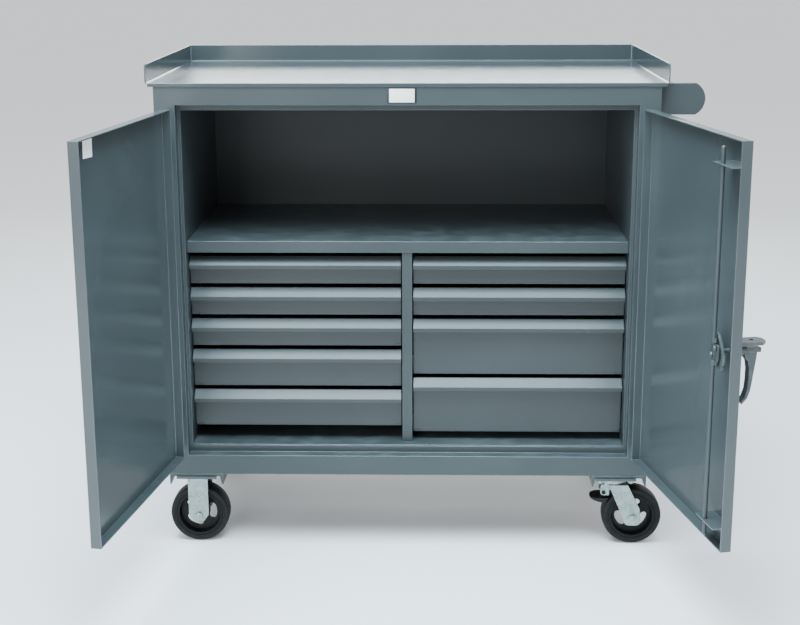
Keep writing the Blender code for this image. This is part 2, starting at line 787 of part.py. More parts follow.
def make_drawer(root, name, side, bottom, height):
    """An open box behind a folded front whose top edge slopes forward into a finger pull."""
    half = COLUMN_HALF - DRAWER_SIDE_GAP
    face = PULL_DEPTH
    back_of_face = face + DRAWER_SHEET
    slope = PULL_DROP / back_of_face
    nose_top = height - PULL_DROP
    under = DRAWER_SHEET * math.sqrt(1 + slope * slope)
    box_half = COLUMN_HALF - BOX_SIDE_GAP
    box_front = face + DRAWER_SHEET / 2
    box_top = height - BOX_TOP_DROP
    drawer = boxes(name, (((-box_half, box_front, BOX_RAISE), (box_half, DRAWER_BACK, box_top)),))
    piece(drawer, "paint", root, (side * COLUMN_X, SHELF_FRONT, bottom))
    hollow = boxes(
        f"{name}_hollow",
        (
            (
                (DRAWER_SHEET - box_half, back_of_face + DRAWER_SHEET, BOX_RAISE + DRAWER_SHEET),
                (box_half - DRAWER_SHEET, DRAWER_BACK - DRAWER_SHEET, height + OVERRUN),
            ),
        ),
    )
    combine(drawer, hollow, "DIFFERENCE")
    outline = (
        (back_of_face, 0),
        (face, 0),
        (face, nose_top + slope * face - under),
        (DRAWER_SHEET, nose_top + slope * DRAWER_SHEET - under),
        (DRAWER_SHEET, nose_top - PULL_NOSE),
        (0, nose_top - PULL_NOSE),
        (0, nose_top),
        (back_of_face, height),
    )
    combine(drawer, plate(f"{name}_front", outline, 2 * half, "X"), "UNION")
    runner_front = back_of_face + RUNNER_SETBACK
    low, high = RUNNER_CENTRE - RUNNER_HEIGHT / 2, RUNNER_CENTRE + RUNNER_HEIGHT / 2
    reach = box_half + RUNNER_REACH
    inner = box_half - DRAWER_SHEET / 2
    runners = boxes(
        f"{name}_runners",
        (
            ((-reach, runner_front, low), (-inner, DRAWER_BACK - DRAWER_SHEET, high)),
            ((inner, runner_front, low), (reach, DRAWER_BACK - DRAWER_SHEET, high)),
        ),
    )
    combine(drawer, runners, "UNION")
    notches = boxes(
        f"{name}_notches",
        (
            ((-half - OVERRUN, -OVERRUN, -OVERRUN), (NOTCH_WIDTH - half, box_front, NOTCH_HEIGHT)),
            ((half - NOTCH_WIDTH, -OVERRUN, -OVERRUN), (half + OVERRUN, box_front, NOTCH_HEIGHT)),
        ),
    )
    combine(drawer, notches, "DIFFERENCE")


def make_door(name, carrier, side):
    """A door pan with its hinge straps; side is 1 where the pan runs to +X from its pin when shut."""
    back = HINGE_OUT + DOOR_THICKNESS
    across = sorted((side * DOOR_NEAR, side * DOOR_FAR))
    rims = ((LEFT, FRONT), (RIGHT, FRONT), (FRONT, BOTTOM), (FRONT, TOP))
    door = rounded_box(
        name,
        (across[0], HINGE_OUT, DOOR_BOTTOM),
        (across[1], back, DOOR_TOP),
        ((rims, DOOR_EDGE),),
        EDGE_STEPS,
    )
    piece(door, "paint", carrier)
    hollow = boxes(
        f"{name}_hollow",
        (
            (
                (across[0] + SHEET, HINGE_OUT + SHEET, DOOR_BOTTOM + SHEET),
                (across[1] - SHEET, back + OVERRUN, DOOR_TOP - SHEET),
            ),
        ),
    )
    combine(door, hollow, "DIFFERENCE")
    straps = bmesh.new()
    bores = bmesh.new()
    for middle in HINGE_CENTRES:
        low, high = middle - KNUCKLE_HEIGHT / 2, middle + KNUCKLE_HEIGHT / 2
        outer_face = HINGE_OUT - STRAP_GAP
        over = sorted((0, side * STRAP_LENGTH))
        add_box(straps, (over[0], outer_face - STRAP_SHEET, low), (over[1], outer_face, high))
        pad = sorted((side * (DOOR_NEAR + 2 * DOOR_EDGE), side * STRAP_LENGTH))
        add_box(straps, (pad[0], outer_face - JOIN_OVERLAP, low), (pad[1], HINGE_OUT + JOIN_OVERLAP, high))
        add_cylinder(straps, (0, 0, low), (0, 0, high), KNUCKLE_RADIUS, SMALL_STEPS)
        add_cylinder(bores, (0, 0, low - OVERRUN), (0, 0, high + OVERRUN), HINGE_BORE, SMALL_STEPS)
    combine(door, mesh_object(f"{name}_straps", straps), "UNION", overlapping=True)
    combine(door, mesh_object(f"{name}_bores", bores), "DIFFERENCE")
    return door


def make_latch(door, carrier):
    """The right door's turning handle, cam, two lock rods and their guides."""
    guides = boxes(
        "rod_guides",
        [
            (
                (SHEET / 2 - DOOR_FAR, HINGE_OUT + SHEET / 2, height),
                (GUIDE_WIDTH - LATCH_ALONG, HINGE_OUT + GUIDE_DEPTH, height + GUIDE_THICKNESS),
            )
            for height in GUIDE_BOTTOMS
        ],
    )
    combine(door, guides, "UNION")
    rod_y = HINGE_OUT + ROD_Y
    holes = cylinders(
        "latch_holes",
        (
            (
                (-LATCH_ALONG, 0, SPINDLE_Z),
                (-LATCH_ALONG, HINGE_OUT + OVERRUN, SPINDLE_Z),
                SPINDLE_HOLE,
                SMALL_STEPS,
            ),
            *(
                (
                    (-LATCH_ALONG, rod_y, height - OVERRUN),
                    (-LATCH_ALONG, rod_y, height + OVERRUN),
                    ROD_HOLE,
                    SMALL_STEPS,
                )
                for height in GUIDE_BOTTOMS
            ),
        ),
    )
    combine(door, holes, "DIFFERENCE")
    axis = frame_empty("latch_axis", (-LATCH_ALONG, HINGE_OUT, SPINDLE_Z), carrier)
    make_hasp(axis)
    make_handle(axis)
    make_cam(axis)
    make_rod(axis, "upper_lock_rod", 1, UPPER_TIP - SPINDLE_Z)
    make_rod(axis, "lower_lock_rod", -1, SPINDLE_Z - LOWER_TIP)


def make_hasp(axis):
    """The fixed padlock plate and the escutcheon it stands on."""
    face = -SEAT_GAP
    escutcheon = boxes(
        "hasp",
        (
            (
                (-ESCUTCHEON_WIDTH / 2, face - ESCUTCHEON_SHEET, -ESCUTCHEON_BELOW),
                (ESCUTCHEON_WIDTH / 2, face, ESCUTCHEON_ABOVE),
            ),
        ),
    )
    hasp = piece(escutcheon, "lock_steel", axis)
    half = HASP_WIDTH / 2
    root = face - ESCUTCHEON_SHEET / 2
    outline = (
        (-half, root),
        (-half, HASP_CHAMFER - HASP_REACH),
        (HASP_CHAMFER - half, -HASP_REACH),
        (half - HASP_CHAMFER, -HASP_REACH),
        (half, HASP_CHAMFER - HASP_REACH),
        (half, root),
    )
    tongue = plate("hasp_plate", outline, HASP_THICKNESS, "Z", HASP_RISE + HASP_THICKNESS / 2)
    combine(hasp, tongue, "UNION")
    holes = cylinders(
        "hasp_holes",
        (
            ((0, -OVERRUN, 0), (0, OVERRUN, 0), SPINDLE_HOLE, SMALL_STEPS),
            (
                (0, -PADLOCK_REACH, HASP_RISE / 2),
                (0, -PADLOCK_REACH, HASP_RISE + OVERRUN),
                PADLOCK_HOLE,
                SMALL_STEPS,
            ),
        ),
    )
    combine(hasp, holes, "DIFFERENCE")


def make_handle(axis):
    """The bow lever, its hub, padlock lug and spindle."""
    hub_near = -ESCUTCHEON_SHEET - 2 * SEAT_GAP
    handle = cylinders("door_handle", (((0, hub_near, 0), (0, -HUB_REACH, 0), HUB_RADIUS, ROUND_STEPS),))
    piece(handle, "lock_steel", axis)
    lug = rounded_box(
        "handle_lug",
        (-LUG_HALF, -LUG_REACH, -LUG_THICKNESS / 2),
        (LUG_HALF, JOIN_OVERLAP - HUB_REACH, LUG_THICKNESS / 2),
        ((((LEFT, FRONT), (RIGHT, FRONT)), LUG_HALF / 2),),
    )
    combine(handle, lug, "UNION")
    outline = [(-LEVER_REACH * reach, -LEVER_DROP * drop) for reach, drop in LEVER_SHARES]
    lever = plate("handle_lever", outline, 2 * (HUB_RADIUS - LEVER_STEP), "X", rim=LEVER_EDGE)
    combine(handle, lever, "UNION")
    spindle_end = CAM_FRONT + CAM_NUT_HEIGHT
    spindle = cylinders(
        "handle_spindle",
        (((0, hub_near - JOIN_OVERLAP, 0), (0, spindle_end, 0), SPINDLE_RADIUS, SMALL_STEPS),),
    )
    combine(handle, spindle, "UNION")


def make_cam(axis):
    """The rounded plate on the spindle, with its nut ring and the two crank pins."""
    radius = CAM_WIDTH / 2
    rise = CAM_LENGTH / 2 - radius
    outline = arc(0, rise, radius, 0, 180, ARC_STEPS) + arc(0, -rise, radius, 180, 360, ARC_STEPS)
    cosine, sine = math.cos(CAM_TILT), math.sin(CAM_TILT)
    tilted = [(x * cosine - z * sine, x * sine + z * cosine) for x, z in outline]
    front = CAM_FRONT
    cam = piece(plate("lock_cam", tilted, CAM_THICKNESS, "Y", front - CAM_THICKNESS / 2), "lock_steel", axis)
    shapes = bmesh.new()
    root = front - JOIN_OVERLAP
    add_cylinder(shapes, (0, root, 0), (0, front + CAM_NUT_HEIGHT, 0), CAM_NUT_RADIUS, HEX_STEPS)
    pin_end = YOKE_Y + YOKE_THICKNESS / 2 + SLOT_GAP
    for turn in (CRANK_REST, CRANK_REST + math.pi):
        x, z = CRANK_RADIUS * math.cos(turn), CRANK_RADIUS * math.sin(turn)
        add_cylinder(shapes, (x, root, z), (x, pin_end + JOIN_OVERLAP, z), CRANK_PIN, SMALL_STEPS)
        add_cylinder(shapes, (x, pin_end, z), (x, pin_end + CRANK_HEAD_HEIGHT, z), CRANK_HEAD, HEX_STEPS)
    combine(cam, mesh_object("cam_pins", shapes), "UNION", overlapping=True)
    bore = cylinders("cam_bore", (((0, 0, 0), (0, front + OVERRUN, 0), CAM_BORE, SMALL_STEPS),))
    combine(cam, bore, "DIFFERENCE")


def make_rod(axis, name, side, tip):
    """A lock rod: the slotted yoke at its inner end rides on one crank pin. Side is 1 for the upper rod."""
    pin_x = side * CRANK_RADIUS * math.cos(CRANK_REST)
    pin_z = side * CRANK_RADIUS * math.sin(CRANK_REST)
    reach = pin_z + side * YOKE_REACH
    inner, outer = side * YOKE_INNER, side * YOKE_OUTER
    shoulder = pin_z + side * YOKE_SHOULDER
    outline = (
        (inner, pin_z - side * YOKE_END),
        (outer, pin_z - side * YOKE_END),
        (outer, shoulder - side * YOKE_NECK),
        (outer / 2, reach),
        (-side * YOKE_NECK, reach),
        (-side * YOKE_NECK, shoulder),
        (inner, shoulder),
    )
    rod = piece(plate(name, outline, YOKE_THICKNESS, "Y", YOKE_Y), "lock_steel", axis)
    start = shoulder + side * JOIN_OVERLAP
    bar = bmesh.new()
    add_cylinder(bar, (0, ROD_Y, start), (0, ROD_Y, side * tip), ROD_RADIUS, SMALL_STEPS)
    rim = [edge for edge in bar.edges if min(side * end.co.z for end in edge.verts) > tip - ROD_TAPER]
    bevel_edges(bar, rim, ROD_TAPER, 1)
    combine(rod, mesh_object(f"{name}_bar", bar), "UNION")
    near = CRANK_RADIUS * math.cos(CRANK_REST) - CRANK_PIN - SLOT_GAP
    far = CRANK_RADIUS + CRANK_PIN + SLOT_GAP
    ends = sorted((side * near, side * far))
    half = CRANK_PIN + SLOT_GAP
    slot = rounded_box(
        f"{name}_slot",
        (ends[0], YOKE_Y - YOKE_THICKNESS, pin_z - half),
        (ends[1], YOKE_Y + YOKE_THICKNESS, pin_z + half),
        ((((LEFT, BOTTOM), (LEFT, TOP), (RIGHT, BOTTOM), (RIGHT, TOP)), CRANK_PIN),),
    )
    combine(rod, slot, "DIFFERENCE")


def make_push_handle(root):
    """Two brackets on the right side with a round grip between them."""
    near = HALF_WIDTH + SEAT_GAP
    half = BRACKET_HEIGHT / 2
    middle = BRACKET_TOP - half
    grip_x = HALF_WIDTH + GRIP_REACH
    centre = HALF_WIDTH + BRACKET_REACH - BRACKET_ARC
    spread = math.degrees(math.asin(half / BRACKET_ARC))
    outline = [
        (near, middle - half),
        *arc(centre, middle, BRACKET_ARC, -spread, spread, ARC_STEPS),
        (near, BRACKET_TOP),
    ]
    front = BRACKET_INSET + BRACKET_THICKNESS / 2
    rear = BODY_DEPTH - front
    for name, place in (("handle_bracket_front", front), ("handle_bracket_rear", rear)):
        piece(plate(name, outline, BRACKET_THICKNESS, "Y", place), "paint", root)
    start = front + BRACKET_THICKNESS / 2 + SEAT_GAP
    end = rear - BRACKET_THICKNESS / 2 - SEAT_GAP
    bar = ((grip_x, start, middle), (grip_x, end, middle), GRIP_RADIUS, ROUND_STEPS)
    piece(cylinders("push_grip", (bar,)), "paint", root)


def make_channels(root):
    """Rolled channels under the body, whose flanges thin out towards their tips."""
    root_half = CHANNEL_WIDTH / 2 - CHANNEL_ROOT
    depth = CHANNEL_HEIGHT - CHANNEL_WEB
    tip_half = root_half + (CHANNEL_ROOT - CHANNEL_TIP) * (depth + OVERRUN) / depth
    for side, word in ((-1, "left"), (1, "right")):
        across = sorted((side * HALF_WIDTH, side * (HALF_WIDTH - CHANNEL_WIDTH)))
        channel = boxes(
            f"caster_channel_{word}",
            (((across[0], 0, CHANNEL_BOTTOM), (across[1], BODY_DEPTH, CHANNEL_TOP)),),
        )
        piece(channel, "paint", root)
        middle = side * CASTER_X
        outline = (
            (middle - root_half, CHANNEL_TOP - CHANNEL_WEB),
            (middle - tip_half, CHANNEL_BOTTOM - OVERRUN),
            (middle + tip_half, CHANNEL_BOTTOM - OVERRUN),
            (middle + root_half, CHANNEL_TOP - CHANNEL_WEB),
        )
        hollow = plate(f"channel_hollow_{word}", outline, BODY_DEPTH + 2 * OVERRUN, "Y", BODY_DEPTH / 2)
        combine(channel, hollow, "DIFFERENCE")


def both_sides(profile):
    """A closed wheel profile from the half of it on the +Y side."""
    return [*profile, *[(radius, -along) for radius, along in reversed(profile)]]


def window_outline(middle):
    """A kidney-shaped window about the axle: two arcs with a round cap at each end."""
    first, last = middle - math.degrees(WINDOW_SPREAD), middle + math.degrees(WINDOW_SPREAD)
    radius = (WINDOW_OUTER - WINDOW_INNER) / 2
    outline = []
    for start, end, reach, cap_start in (
        (first, last, WINDOW_OUTER, last),
        (last, first, WINDOW_INNER, first + 180),
    ):
        outline.extend(arc(0, 0, reach, start, end, ARC_STEPS))
        turn = math.radians(end)
        centre = WINDOW_INNER + radius
        cap = arc(
            centre * math.cos(turn), centre * math.sin(turn), radius, cap_start, cap_start + 180, CAP_STEPS
        )
        outline.extend(cap[1:-1])
    return outline


def make_wheel(carrier, name, centre_x, turn):
    """A tyre, its cast core turned about the axle, and the axle bolt, on an axis along Y."""
    place = (centre_x, 0, WHEEL_RADIUS)
    inner = CORE_RADIUS + SEAT_GAP
    depth = WHEEL_RADIUS - inner
    profile = [(inner + depth * out, WHEEL_WIDTH / 2 * across) for out, across in TYRE_SHARES]
    piece(turned(f"{name}_tyre", both_sides(profile), WHEEL_STEPS), "tyre", carrier, place)
    profile = [
        (CORE_BORE, CORE_HUB_LENGTH / 2),
        (CORE_HUB, CORE_HUB_LENGTH / 2),
        (CORE_HUB + CORE_DRAFT, CORE_WEB / 2),
        (CORE_RIM - CORE_DRAFT, CORE_WEB / 2),
        (CORE_RIM, CORE_WIDTH / 2),
        (CORE_RADIUS, CORE_WIDTH / 2),
    ]
    core = turned(f"{name}_core", both_sides(profile), CORE_STEPS)
    piece(core, "wheel_core", carrier, place)
    for number in range(WINDOW_COUNT):
        outline = window_outline(math.degrees(turn + number * 2 * math.pi / WINDOW_COUNT))
        combine(core, plate(f"{name}_window_{number + 1}", outline, 2 * CORE_WEB, "Y"), "DIFFERENCE")
    outside = FORK_INNER + FORK_SHEET + SEAT_GAP
    axle = cylinders(
        f"{name}_axle",
        (((0, -outside - JOIN_OVERLAP, 0), (0, outside + JOIN_OVERLAP, 0), AXLE_RADIUS, SMALL_STEPS),),
    )
    piece(axle, "zinc", carrier, place)
    heads = cylinders(
        f"{name}_axle_heads",
        (
            ((0, -outside - AXLE_HEAD_HEIGHT, 0), (0, -outside, 0), AXLE_HEAD_RADIUS, HEX_STEPS),
            ((0, outside, 0), (0, outside + AXLE_HEAD_HEIGHT, 0), AXLE_HEAD_RADIUS, HEX_STEPS),
        ),
    )
    combine(axle, heads, "UNION")


def leg_holes(name, places):
    """Round holes through both fork legs: x, z and radius of each."""
    reach = FORK_INNER + FORK_SHEET + OVERRUN
    return cylinders(name, [((x, -reach, z), (x, reach, z), radius, SMALL_STEPS) for x, z, radius in places])


def make_rigid_caster(root, name, y):
    """A caster that can't turn round: a plate with two straight legs."""
    carrier = frame_empty(f"{name}_mount", (-CASTER_X, y, 0), root)
    half_x, half_y = PLATE_LENGTH / 2, PLATE_WIDTH / 2
    fork = boxes(f"{name}_fork", (((-half_x, -half_y, PLATE_BOTTOM), (half_x, half_y, PLATE_TOP)),))
    piece(fork, "zinc", carrier)
    half = FORK_LEG / 2
    top = PLATE_BOTTOM + JOIN_OVERLAP
    tip = RIGID_LEG_TIP / 2
    low = WHEEL_RADIUS - LEG_BELOW_AXLE
    cut = low + RIGID_LEG_CUT
    outline = ((half, top), (-half, top), (-half, cut), (-tip, low), (tip, low), (half, cut))
    for number, side in enumerate((-1, 1), 1):
        combine(fork, plate(f"{name}_leg_{number}", outline, FORK_SHEET, "Y", side * LEG_Y), "UNION")
    combine(fork, leg_holes(f"{name}_leg_holes", ((0, WHEEL_RADIUS, FORK_HOLE),)), "DIFFERENCE")
    make_wheel(carrier, name, 0, LEFT_WHEEL_TURN)


def make_swivel_caster(root, name, y):
    """A caster that turns about an upright kingpin, with a braked wheel."""
    carrier = frame_empty(f"{name}_mount", (SWIVEL_X, y, 0), root)
    half_x, half_y = PLATE_LENGTH / 2, PLATE_WIDTH / 2
    base = boxes(f"{name}_plate", (((-half_x, -half_y, PLATE_BOTTOM), (half_x, half_y, PLATE_TOP)),))
    piece(base, "zinc", carrier)
    head_top = CROWN_BOTTOM - SEAT_GAP
    race = cylinders(
        f"{name}_race",
        (((0, 0, RACE_BOTTOM), (0, 0, PLATE_BOTTOM + JOIN_OVERLAP), RACE_RADIUS, ROUND_STEPS),),
    )
    combine(base, race, "UNION")
    kingpin = cylinders(
        f"{name}_kingpin",
        (((0, 0, head_top - JOIN_OVERLAP), (0, 0, RACE_BOTTOM + JOIN_OVERLAP), KINGPIN_RADIUS, SMALL_STEPS),),
    )
    combine(base, kingpin, "UNION")
    head = cylinders(
        f"{name}_kingpin_head",
        (((0, 0, head_top - KINGPIN_HEAD_HEIGHT), (0, 0, head_top), KINGPIN_HEAD, HEX_STEPS),),
    )
    combine(base, head, "UNION")
    turn = frame_empty(f"{name}_turn", (0, 0, 0), carrier)
    make_swivel_fork(turn, name)
    make_wheel(turn, name, TRAIL, RIGHT_WHEEL_TURN)
    make_brake(turn, name)


def make_swivel_fork(turn, name):
    """A round crown with two legs that lean back to the axle, and two ears for the brake's pin."""
    crown = ((0, 0, CROWN_BOTTOM), (0, 0, CROWN_TOP), RACE_RADIUS, ROUND_STEPS)
    fork = piece(cylinders(f"{name}_fork", (crown,)), "zinc", turn)
    half = SWIVEL_LEG / 2
    outside = FORK_INNER + FORK_SHEET
    leg_top = CROWN_BOTTOM + CROWN_SHEET
    left, right = SWIVEL_LEG_SHIFT - half, SWIVEL_LEG_SHIFT + half
    bridge = boxes(f"{name}_bridge", (((left, -outside, CROWN_BOTTOM), (right, outside, leg_top)),))
    combine(fork, bridge, "UNION")
    end_half = SWIVEL_LEG_END / 2
    corner_z = WHEEL_RADIUS - SWIVEL_LEG_DROP + SWIVEL_LEG_CORNER
    inset = end_half - SWIVEL_LEG_CORNER
    outline = [
        (right, leg_top - JOIN_OVERLAP),
        (left, leg_top - JOIN_OVERLAP),
        *arc(TRAIL - inset, corner_z, SWIVEL_LEG_CORNER, 180, 270, CAP_STEPS),
        *arc(TRAIL + inset, corner_z, SWIVEL_LEG_CORNER, 270, 360, CAP_STEPS),
        (TRAIL + SWIVEL_KNEE, WHEEL_RADIUS + SWIVEL_KNEE_RISE),
    ]
    for number, side in enumerate((-1, 1), 1):
        combine(fork, plate(f"{name}_leg_{number}", outline, FORK_SHEET, "Y", side * LEG_Y), "UNION")
    low = CROWN_BOTTOM - EAR_DROP
    outline = [
        (-EAR_BACK, CROWN_BOTTOM + JOIN_OVERLAP),
        (-EAR_FRONT + JOIN_OVERLAP, CROWN_BOTTOM + JOIN_OVERLAP),
        *arc(EAR_CORNER - EAR_FRONT, low + EAR_CORNER, EAR_CORNER, 180, 270, CAP_STEPS),
        (-EAR_BACK, low),
    ]
    for number, side in enumerate((-1, 1), 1):
        middle = side * (EAR_INNER + EAR_SHEET / 2)
        combine(fork, plate(f"{name}_ear_{number}", outline, EAR_SHEET, "Y", middle), "UNION")
    places = ((TRAIL, WHEEL_RADIUS, FORK_HOLE), (-PEDAL_PIVOT_X, PEDAL_PIVOT_Z, PEDAL_PIN_HOLE))
    combine(fork, leg_holes(f"{name}_leg_holes", places), "DIFFERENCE")
    pin_hole = cylinders(
        f"{name}_kingpin_hole",
        (((0, 0, CROWN_BOTTOM - OVERRUN), (0, 0, CROWN_TOP + OVERRUN), KINGPIN_HOLE, SMALL_STEPS),),
    )
    combine(fork, pin_hole, "DIFFERENCE")


def shoe_place(height):
    """Where the brake's shoe ends at a height, a gap away from the tyre's tread."""
    rise = height - WHEEL_RADIUS
    return TRAIL - math.sqrt(WHEEL_RADIUS * WHEEL_RADIUS - rise * rise) - SHOE_GAP


def make_brake(turn, name):
    """A pedal with a round front, wedge-shaped from the side, whose back edge brakes the tread."""
    bottom = PEDAL_TOP - PEDAL_DEPTH
    outline = [
        (-PEDAL_REACH, PEDAL_TOP),
        (-PEDAL_REACH, PEDAL_TOP - PEDAL_TIP),
        (-PEDAL_WEDGE, bottom),
        (shoe_place(bottom), bottom),
        (shoe_place(PEDAL_TOP), PEDAL_TOP),
    ]
    in_place = [(x + PEDAL_PIVOT_X, z - PEDAL_PIVOT_Z) for x, z in outline]
    pedal = plate(f"{name}_brake", in_place, PEDAL_WIDTH, "Y")
    piece(pedal, "black_plastic", turn, (-PEDAL_PIVOT_X, 0, PEDAL_PIVOT_Z))
    half = PEDAL_WIDTH / 2
    bow_x = PEDAL_BOW - PEDAL_REACH + PEDAL_PIVOT_X
    stretch = PEDAL_BOW / half
    bow = [(bow_x + x * stretch, y) for x, y in arc(0, 0, half, 90, 270, ARC_STEPS)]
    plan = [(OVERRUN + PEDAL_PIVOT_X, half), *bow, (OVERRUN + PEDAL_PIVOT_X, -half)]
    combine(pedal, plate(f"{name}_brake_plan", plan, 2 * PEDAL_DROP, "Z", 0), "INTERSECT")
    hub_half = EAR_INNER - PEDAL_SIDE_GAP
    web = boxes(
        f"{name}_brake_web",
        (((-HUB_HALF, -hub_half, PEDAL_TOP - JOIN_OVERLAP - PEDAL_PIVOT_Z), (HUB_HALF, hub_half, 0)),),
    )
    combine(pedal, web, "UNION")
    hub = cylinders(f"{name}_brake_hub", (((0, -hub_half, 0), (0, hub_half, 0), HUB_ROUND, SMALL_STEPS),))
    combine(pedal, hub, "UNION")
    head = EAR_INNER + EAR_SHEET + SEAT_GAP
    end = head + PEDAL_PIN_HEAD_HEIGHT
    pin = cylinders(
        f"{name}_brake_pin",
        (
            ((0, -head - JOIN_OVERLAP, 0), (0, head + JOIN_OVERLAP, 0), PEDAL_PIN, SMALL_STEPS),
            ((0, -end, 0), (0, -head, 0), PEDAL_PIN_HEAD, HEX_STEPS),
            ((0, head, 0), (0, end, 0), PEDAL_PIN_HEAD, HEX_STEPS),
        ),
    )
    combine(pedal, pin, "UNION", overlapping=True)


for old in list(bpy.data.objects):
    bpy.data.objects.remove(old)
PARTS = cleared_collection("tool_cart")
CUTTERS = cleared_collection("cutters")
CUTTERS.hide_render = True
MATERIAL = make_materials()
cart = frame_empty("tool_cart", (-CENTRE_X, -CENTRE_Y, 0))
make_tray(cart)
make_front_frame(cart)
make_body(cart)
for drawer_side, side_word, drawer_heights in ((-1, "left", LEFT_DRAWERS), (1, "right", RIGHT_DRAWERS)):
    for drawer_number, (drawer_bottom, drawer_height) in enumerate(
        zip(drawer_bottoms(drawer_heights), drawer_heights), 1
    ):
        make_drawer(cart, f"{side_word}_drawer_{drawer_number}", drawer_side, drawer_bottom, drawer_height)
left_axis = frame_empty("left_door_axis", (-HINGE_X, -HINGE_OUT, 0), cart, -LEFT_OPEN)
right_axis = frame_empty("right_door_axis", (HINGE_X, -HINGE_OUT, 0), cart, RIGHT_OPEN)
make_door("left_door", left_axis, 1)
make_latch(make_door("right_door", right_axis, -1), right_axis)
make_push_handle(cart)
make_channels(cart)
for end_word, axle_y in (("front", AXLE_INSET), ("rear", BODY_DEPTH - AXLE_INSET)):
    make_rigid_caster(cart, f"left_{end_word}", axle_y)
    make_swivel_caster(cart, f"right_{end_word}", axle_y)
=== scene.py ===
# %% [markdown]
# # A wheeled steel tool cabinet
#
# The cabinet is folded sheet steel under satin grey-blue enamel, on two fixed and two turning
# casters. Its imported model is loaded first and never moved. What follows gives it finishes and the
# small things that a solid model leaves out, such as nuts, weld beads, labels and moulded tyres.

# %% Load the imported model
import json
import math

import bmesh
import bpy
from mathutils import Matrix, Vector


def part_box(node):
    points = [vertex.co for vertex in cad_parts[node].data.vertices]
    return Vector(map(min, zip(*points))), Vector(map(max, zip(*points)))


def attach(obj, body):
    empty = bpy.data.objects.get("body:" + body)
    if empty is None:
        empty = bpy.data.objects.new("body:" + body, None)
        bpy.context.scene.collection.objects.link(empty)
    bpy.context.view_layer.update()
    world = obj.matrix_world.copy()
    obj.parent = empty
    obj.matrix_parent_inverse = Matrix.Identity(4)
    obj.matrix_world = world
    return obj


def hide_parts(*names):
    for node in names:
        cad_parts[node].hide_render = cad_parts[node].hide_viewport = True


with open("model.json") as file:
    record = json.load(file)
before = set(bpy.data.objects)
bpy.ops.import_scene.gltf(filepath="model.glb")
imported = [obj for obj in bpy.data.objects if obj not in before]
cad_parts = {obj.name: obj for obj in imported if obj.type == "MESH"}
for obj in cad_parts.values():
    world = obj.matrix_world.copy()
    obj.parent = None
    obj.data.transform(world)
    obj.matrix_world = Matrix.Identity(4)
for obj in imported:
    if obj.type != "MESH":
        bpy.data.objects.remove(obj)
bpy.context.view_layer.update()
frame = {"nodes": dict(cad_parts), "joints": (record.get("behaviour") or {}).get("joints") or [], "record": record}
nodes = frame["nodes"]
joints = {joint["name"]: joint for joint in frame["joints"]}

# %% [markdown]
# ## Where things are
#
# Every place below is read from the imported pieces, so that a label or a nut sits on the sheet that
# carries it. The doors stand open, so each one has a frame of its own: X runs from its hinge to
# its free edge, Y points into the shut cabinet, and the height is the height above the floor.

# %% Frames to build in
frame_low, frame_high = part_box("front_frame")
MIDDLE_X = (frame_low.x + frame_high.x) / 2
SHEET = 0.0027
SEAT_GAP = 0.0003
FRONT_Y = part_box("left_side")[0].y - SHEET - SEAT_GAP
DOOR_FACE = 0.0065


def door_frame(side):
    """The frame of the left or right door as it stands open."""
    joint = joints[f"{side}_door_hinge"]
    shut = math.radians(joint["range_deg"][0]) * joint["axis"][2]
    place = Vector(joint["pos_m"])
    place.z = 0
    return Matrix.Translation(place) @ Matrix.Rotation(-shut, 4, "Z")


left_door_frame = door_frame("left")
right_door_frame = door_frame("right")
latch_frame = Matrix.Translation(joints["latch_turn"]["pos_m"]) @ right_door_frame.to_3x3().to_4x4()
print("front face at", round(FRONT_Y, 4), "middle at", round(MIDDLE_X, 4))

# %% [markdown]
# ## The camera
#
# The photograph was taken a little above the tray and almost straight on, from about three and a
# half metres. The picture's upright shift is small, and keeps the doors' edges as they are there.

# %% Camera
camera_data = bpy.data.cameras.new("camera")
camera_data.lens = 62.63
camera_data.sensor_width = 36
camera_data.shift_y = -0.0429
camera = bpy.data.objects.new("camera", camera_data)
bpy.context.scene.collection.objects.link(camera)
CAMERA_YAW = math.radians(-1.386)
CAMERA_PITCH = math.radians(-13.52)
CAMERA_ROLL = math.radians(-0.189)
camera.location = (MIDDLE_X + 0.0644, FRONT_Y - 3.3439, 1.5188)
aim = Matrix.Rotation(-CAMERA_YAW, 4, "Z") @ Matrix.Rotation(math.pi / 2 + CAMERA_PITCH, 4, "X")
camera.rotation_euler = (aim @ Matrix.Rotation(CAMERA_ROLL, 4, "Z")).to_euler()
bpy.context.scene.camera = camera
print("camera at", [round(value, 3) for value in camera.location])

# %% [markdown]
# ## Floor and light
#
# The cart stands in a white studio. A pale floor runs far past the picture and a white surround
# lights every side. One wide panel hangs overhead, a little in front of the cart: the drawer pulls
# slope up towards it and shine, while the deep compartment stays dark. A second panel stands off
# to the left, so the right door is the brighter of the two. A low strip behind the cart is seen
# only in the front half of the worktop, because the tray's back lip hides it from the rest.

# %% Floor, surround and lamps
FLOOR_REACH = 60
floor_shape = bmesh.new()
bmesh.ops.create_grid(floor_shape, x_segments=1, y_segments=1, size=FLOOR_REACH)
floor_mesh = bpy.data.meshes.new("studio_floor")
floor_shape.to_mesh(floor_mesh)
floor_shape.free()
studio_floor = bpy.data.objects.new("studio_floor", floor_mesh)
bpy.context.scene.collection.objects.link(studio_floor)

surround = bpy.data.worlds.new("studio_surround")
surround.use_nodes = True
surround.node_tree.nodes["Background"].inputs["Color"].default_value = (0.96, 0.98, 1, 1)
surround.node_tree.nodes["Background"].inputs["Strength"].default_value = 1.1
bpy.context.scene.world = surround


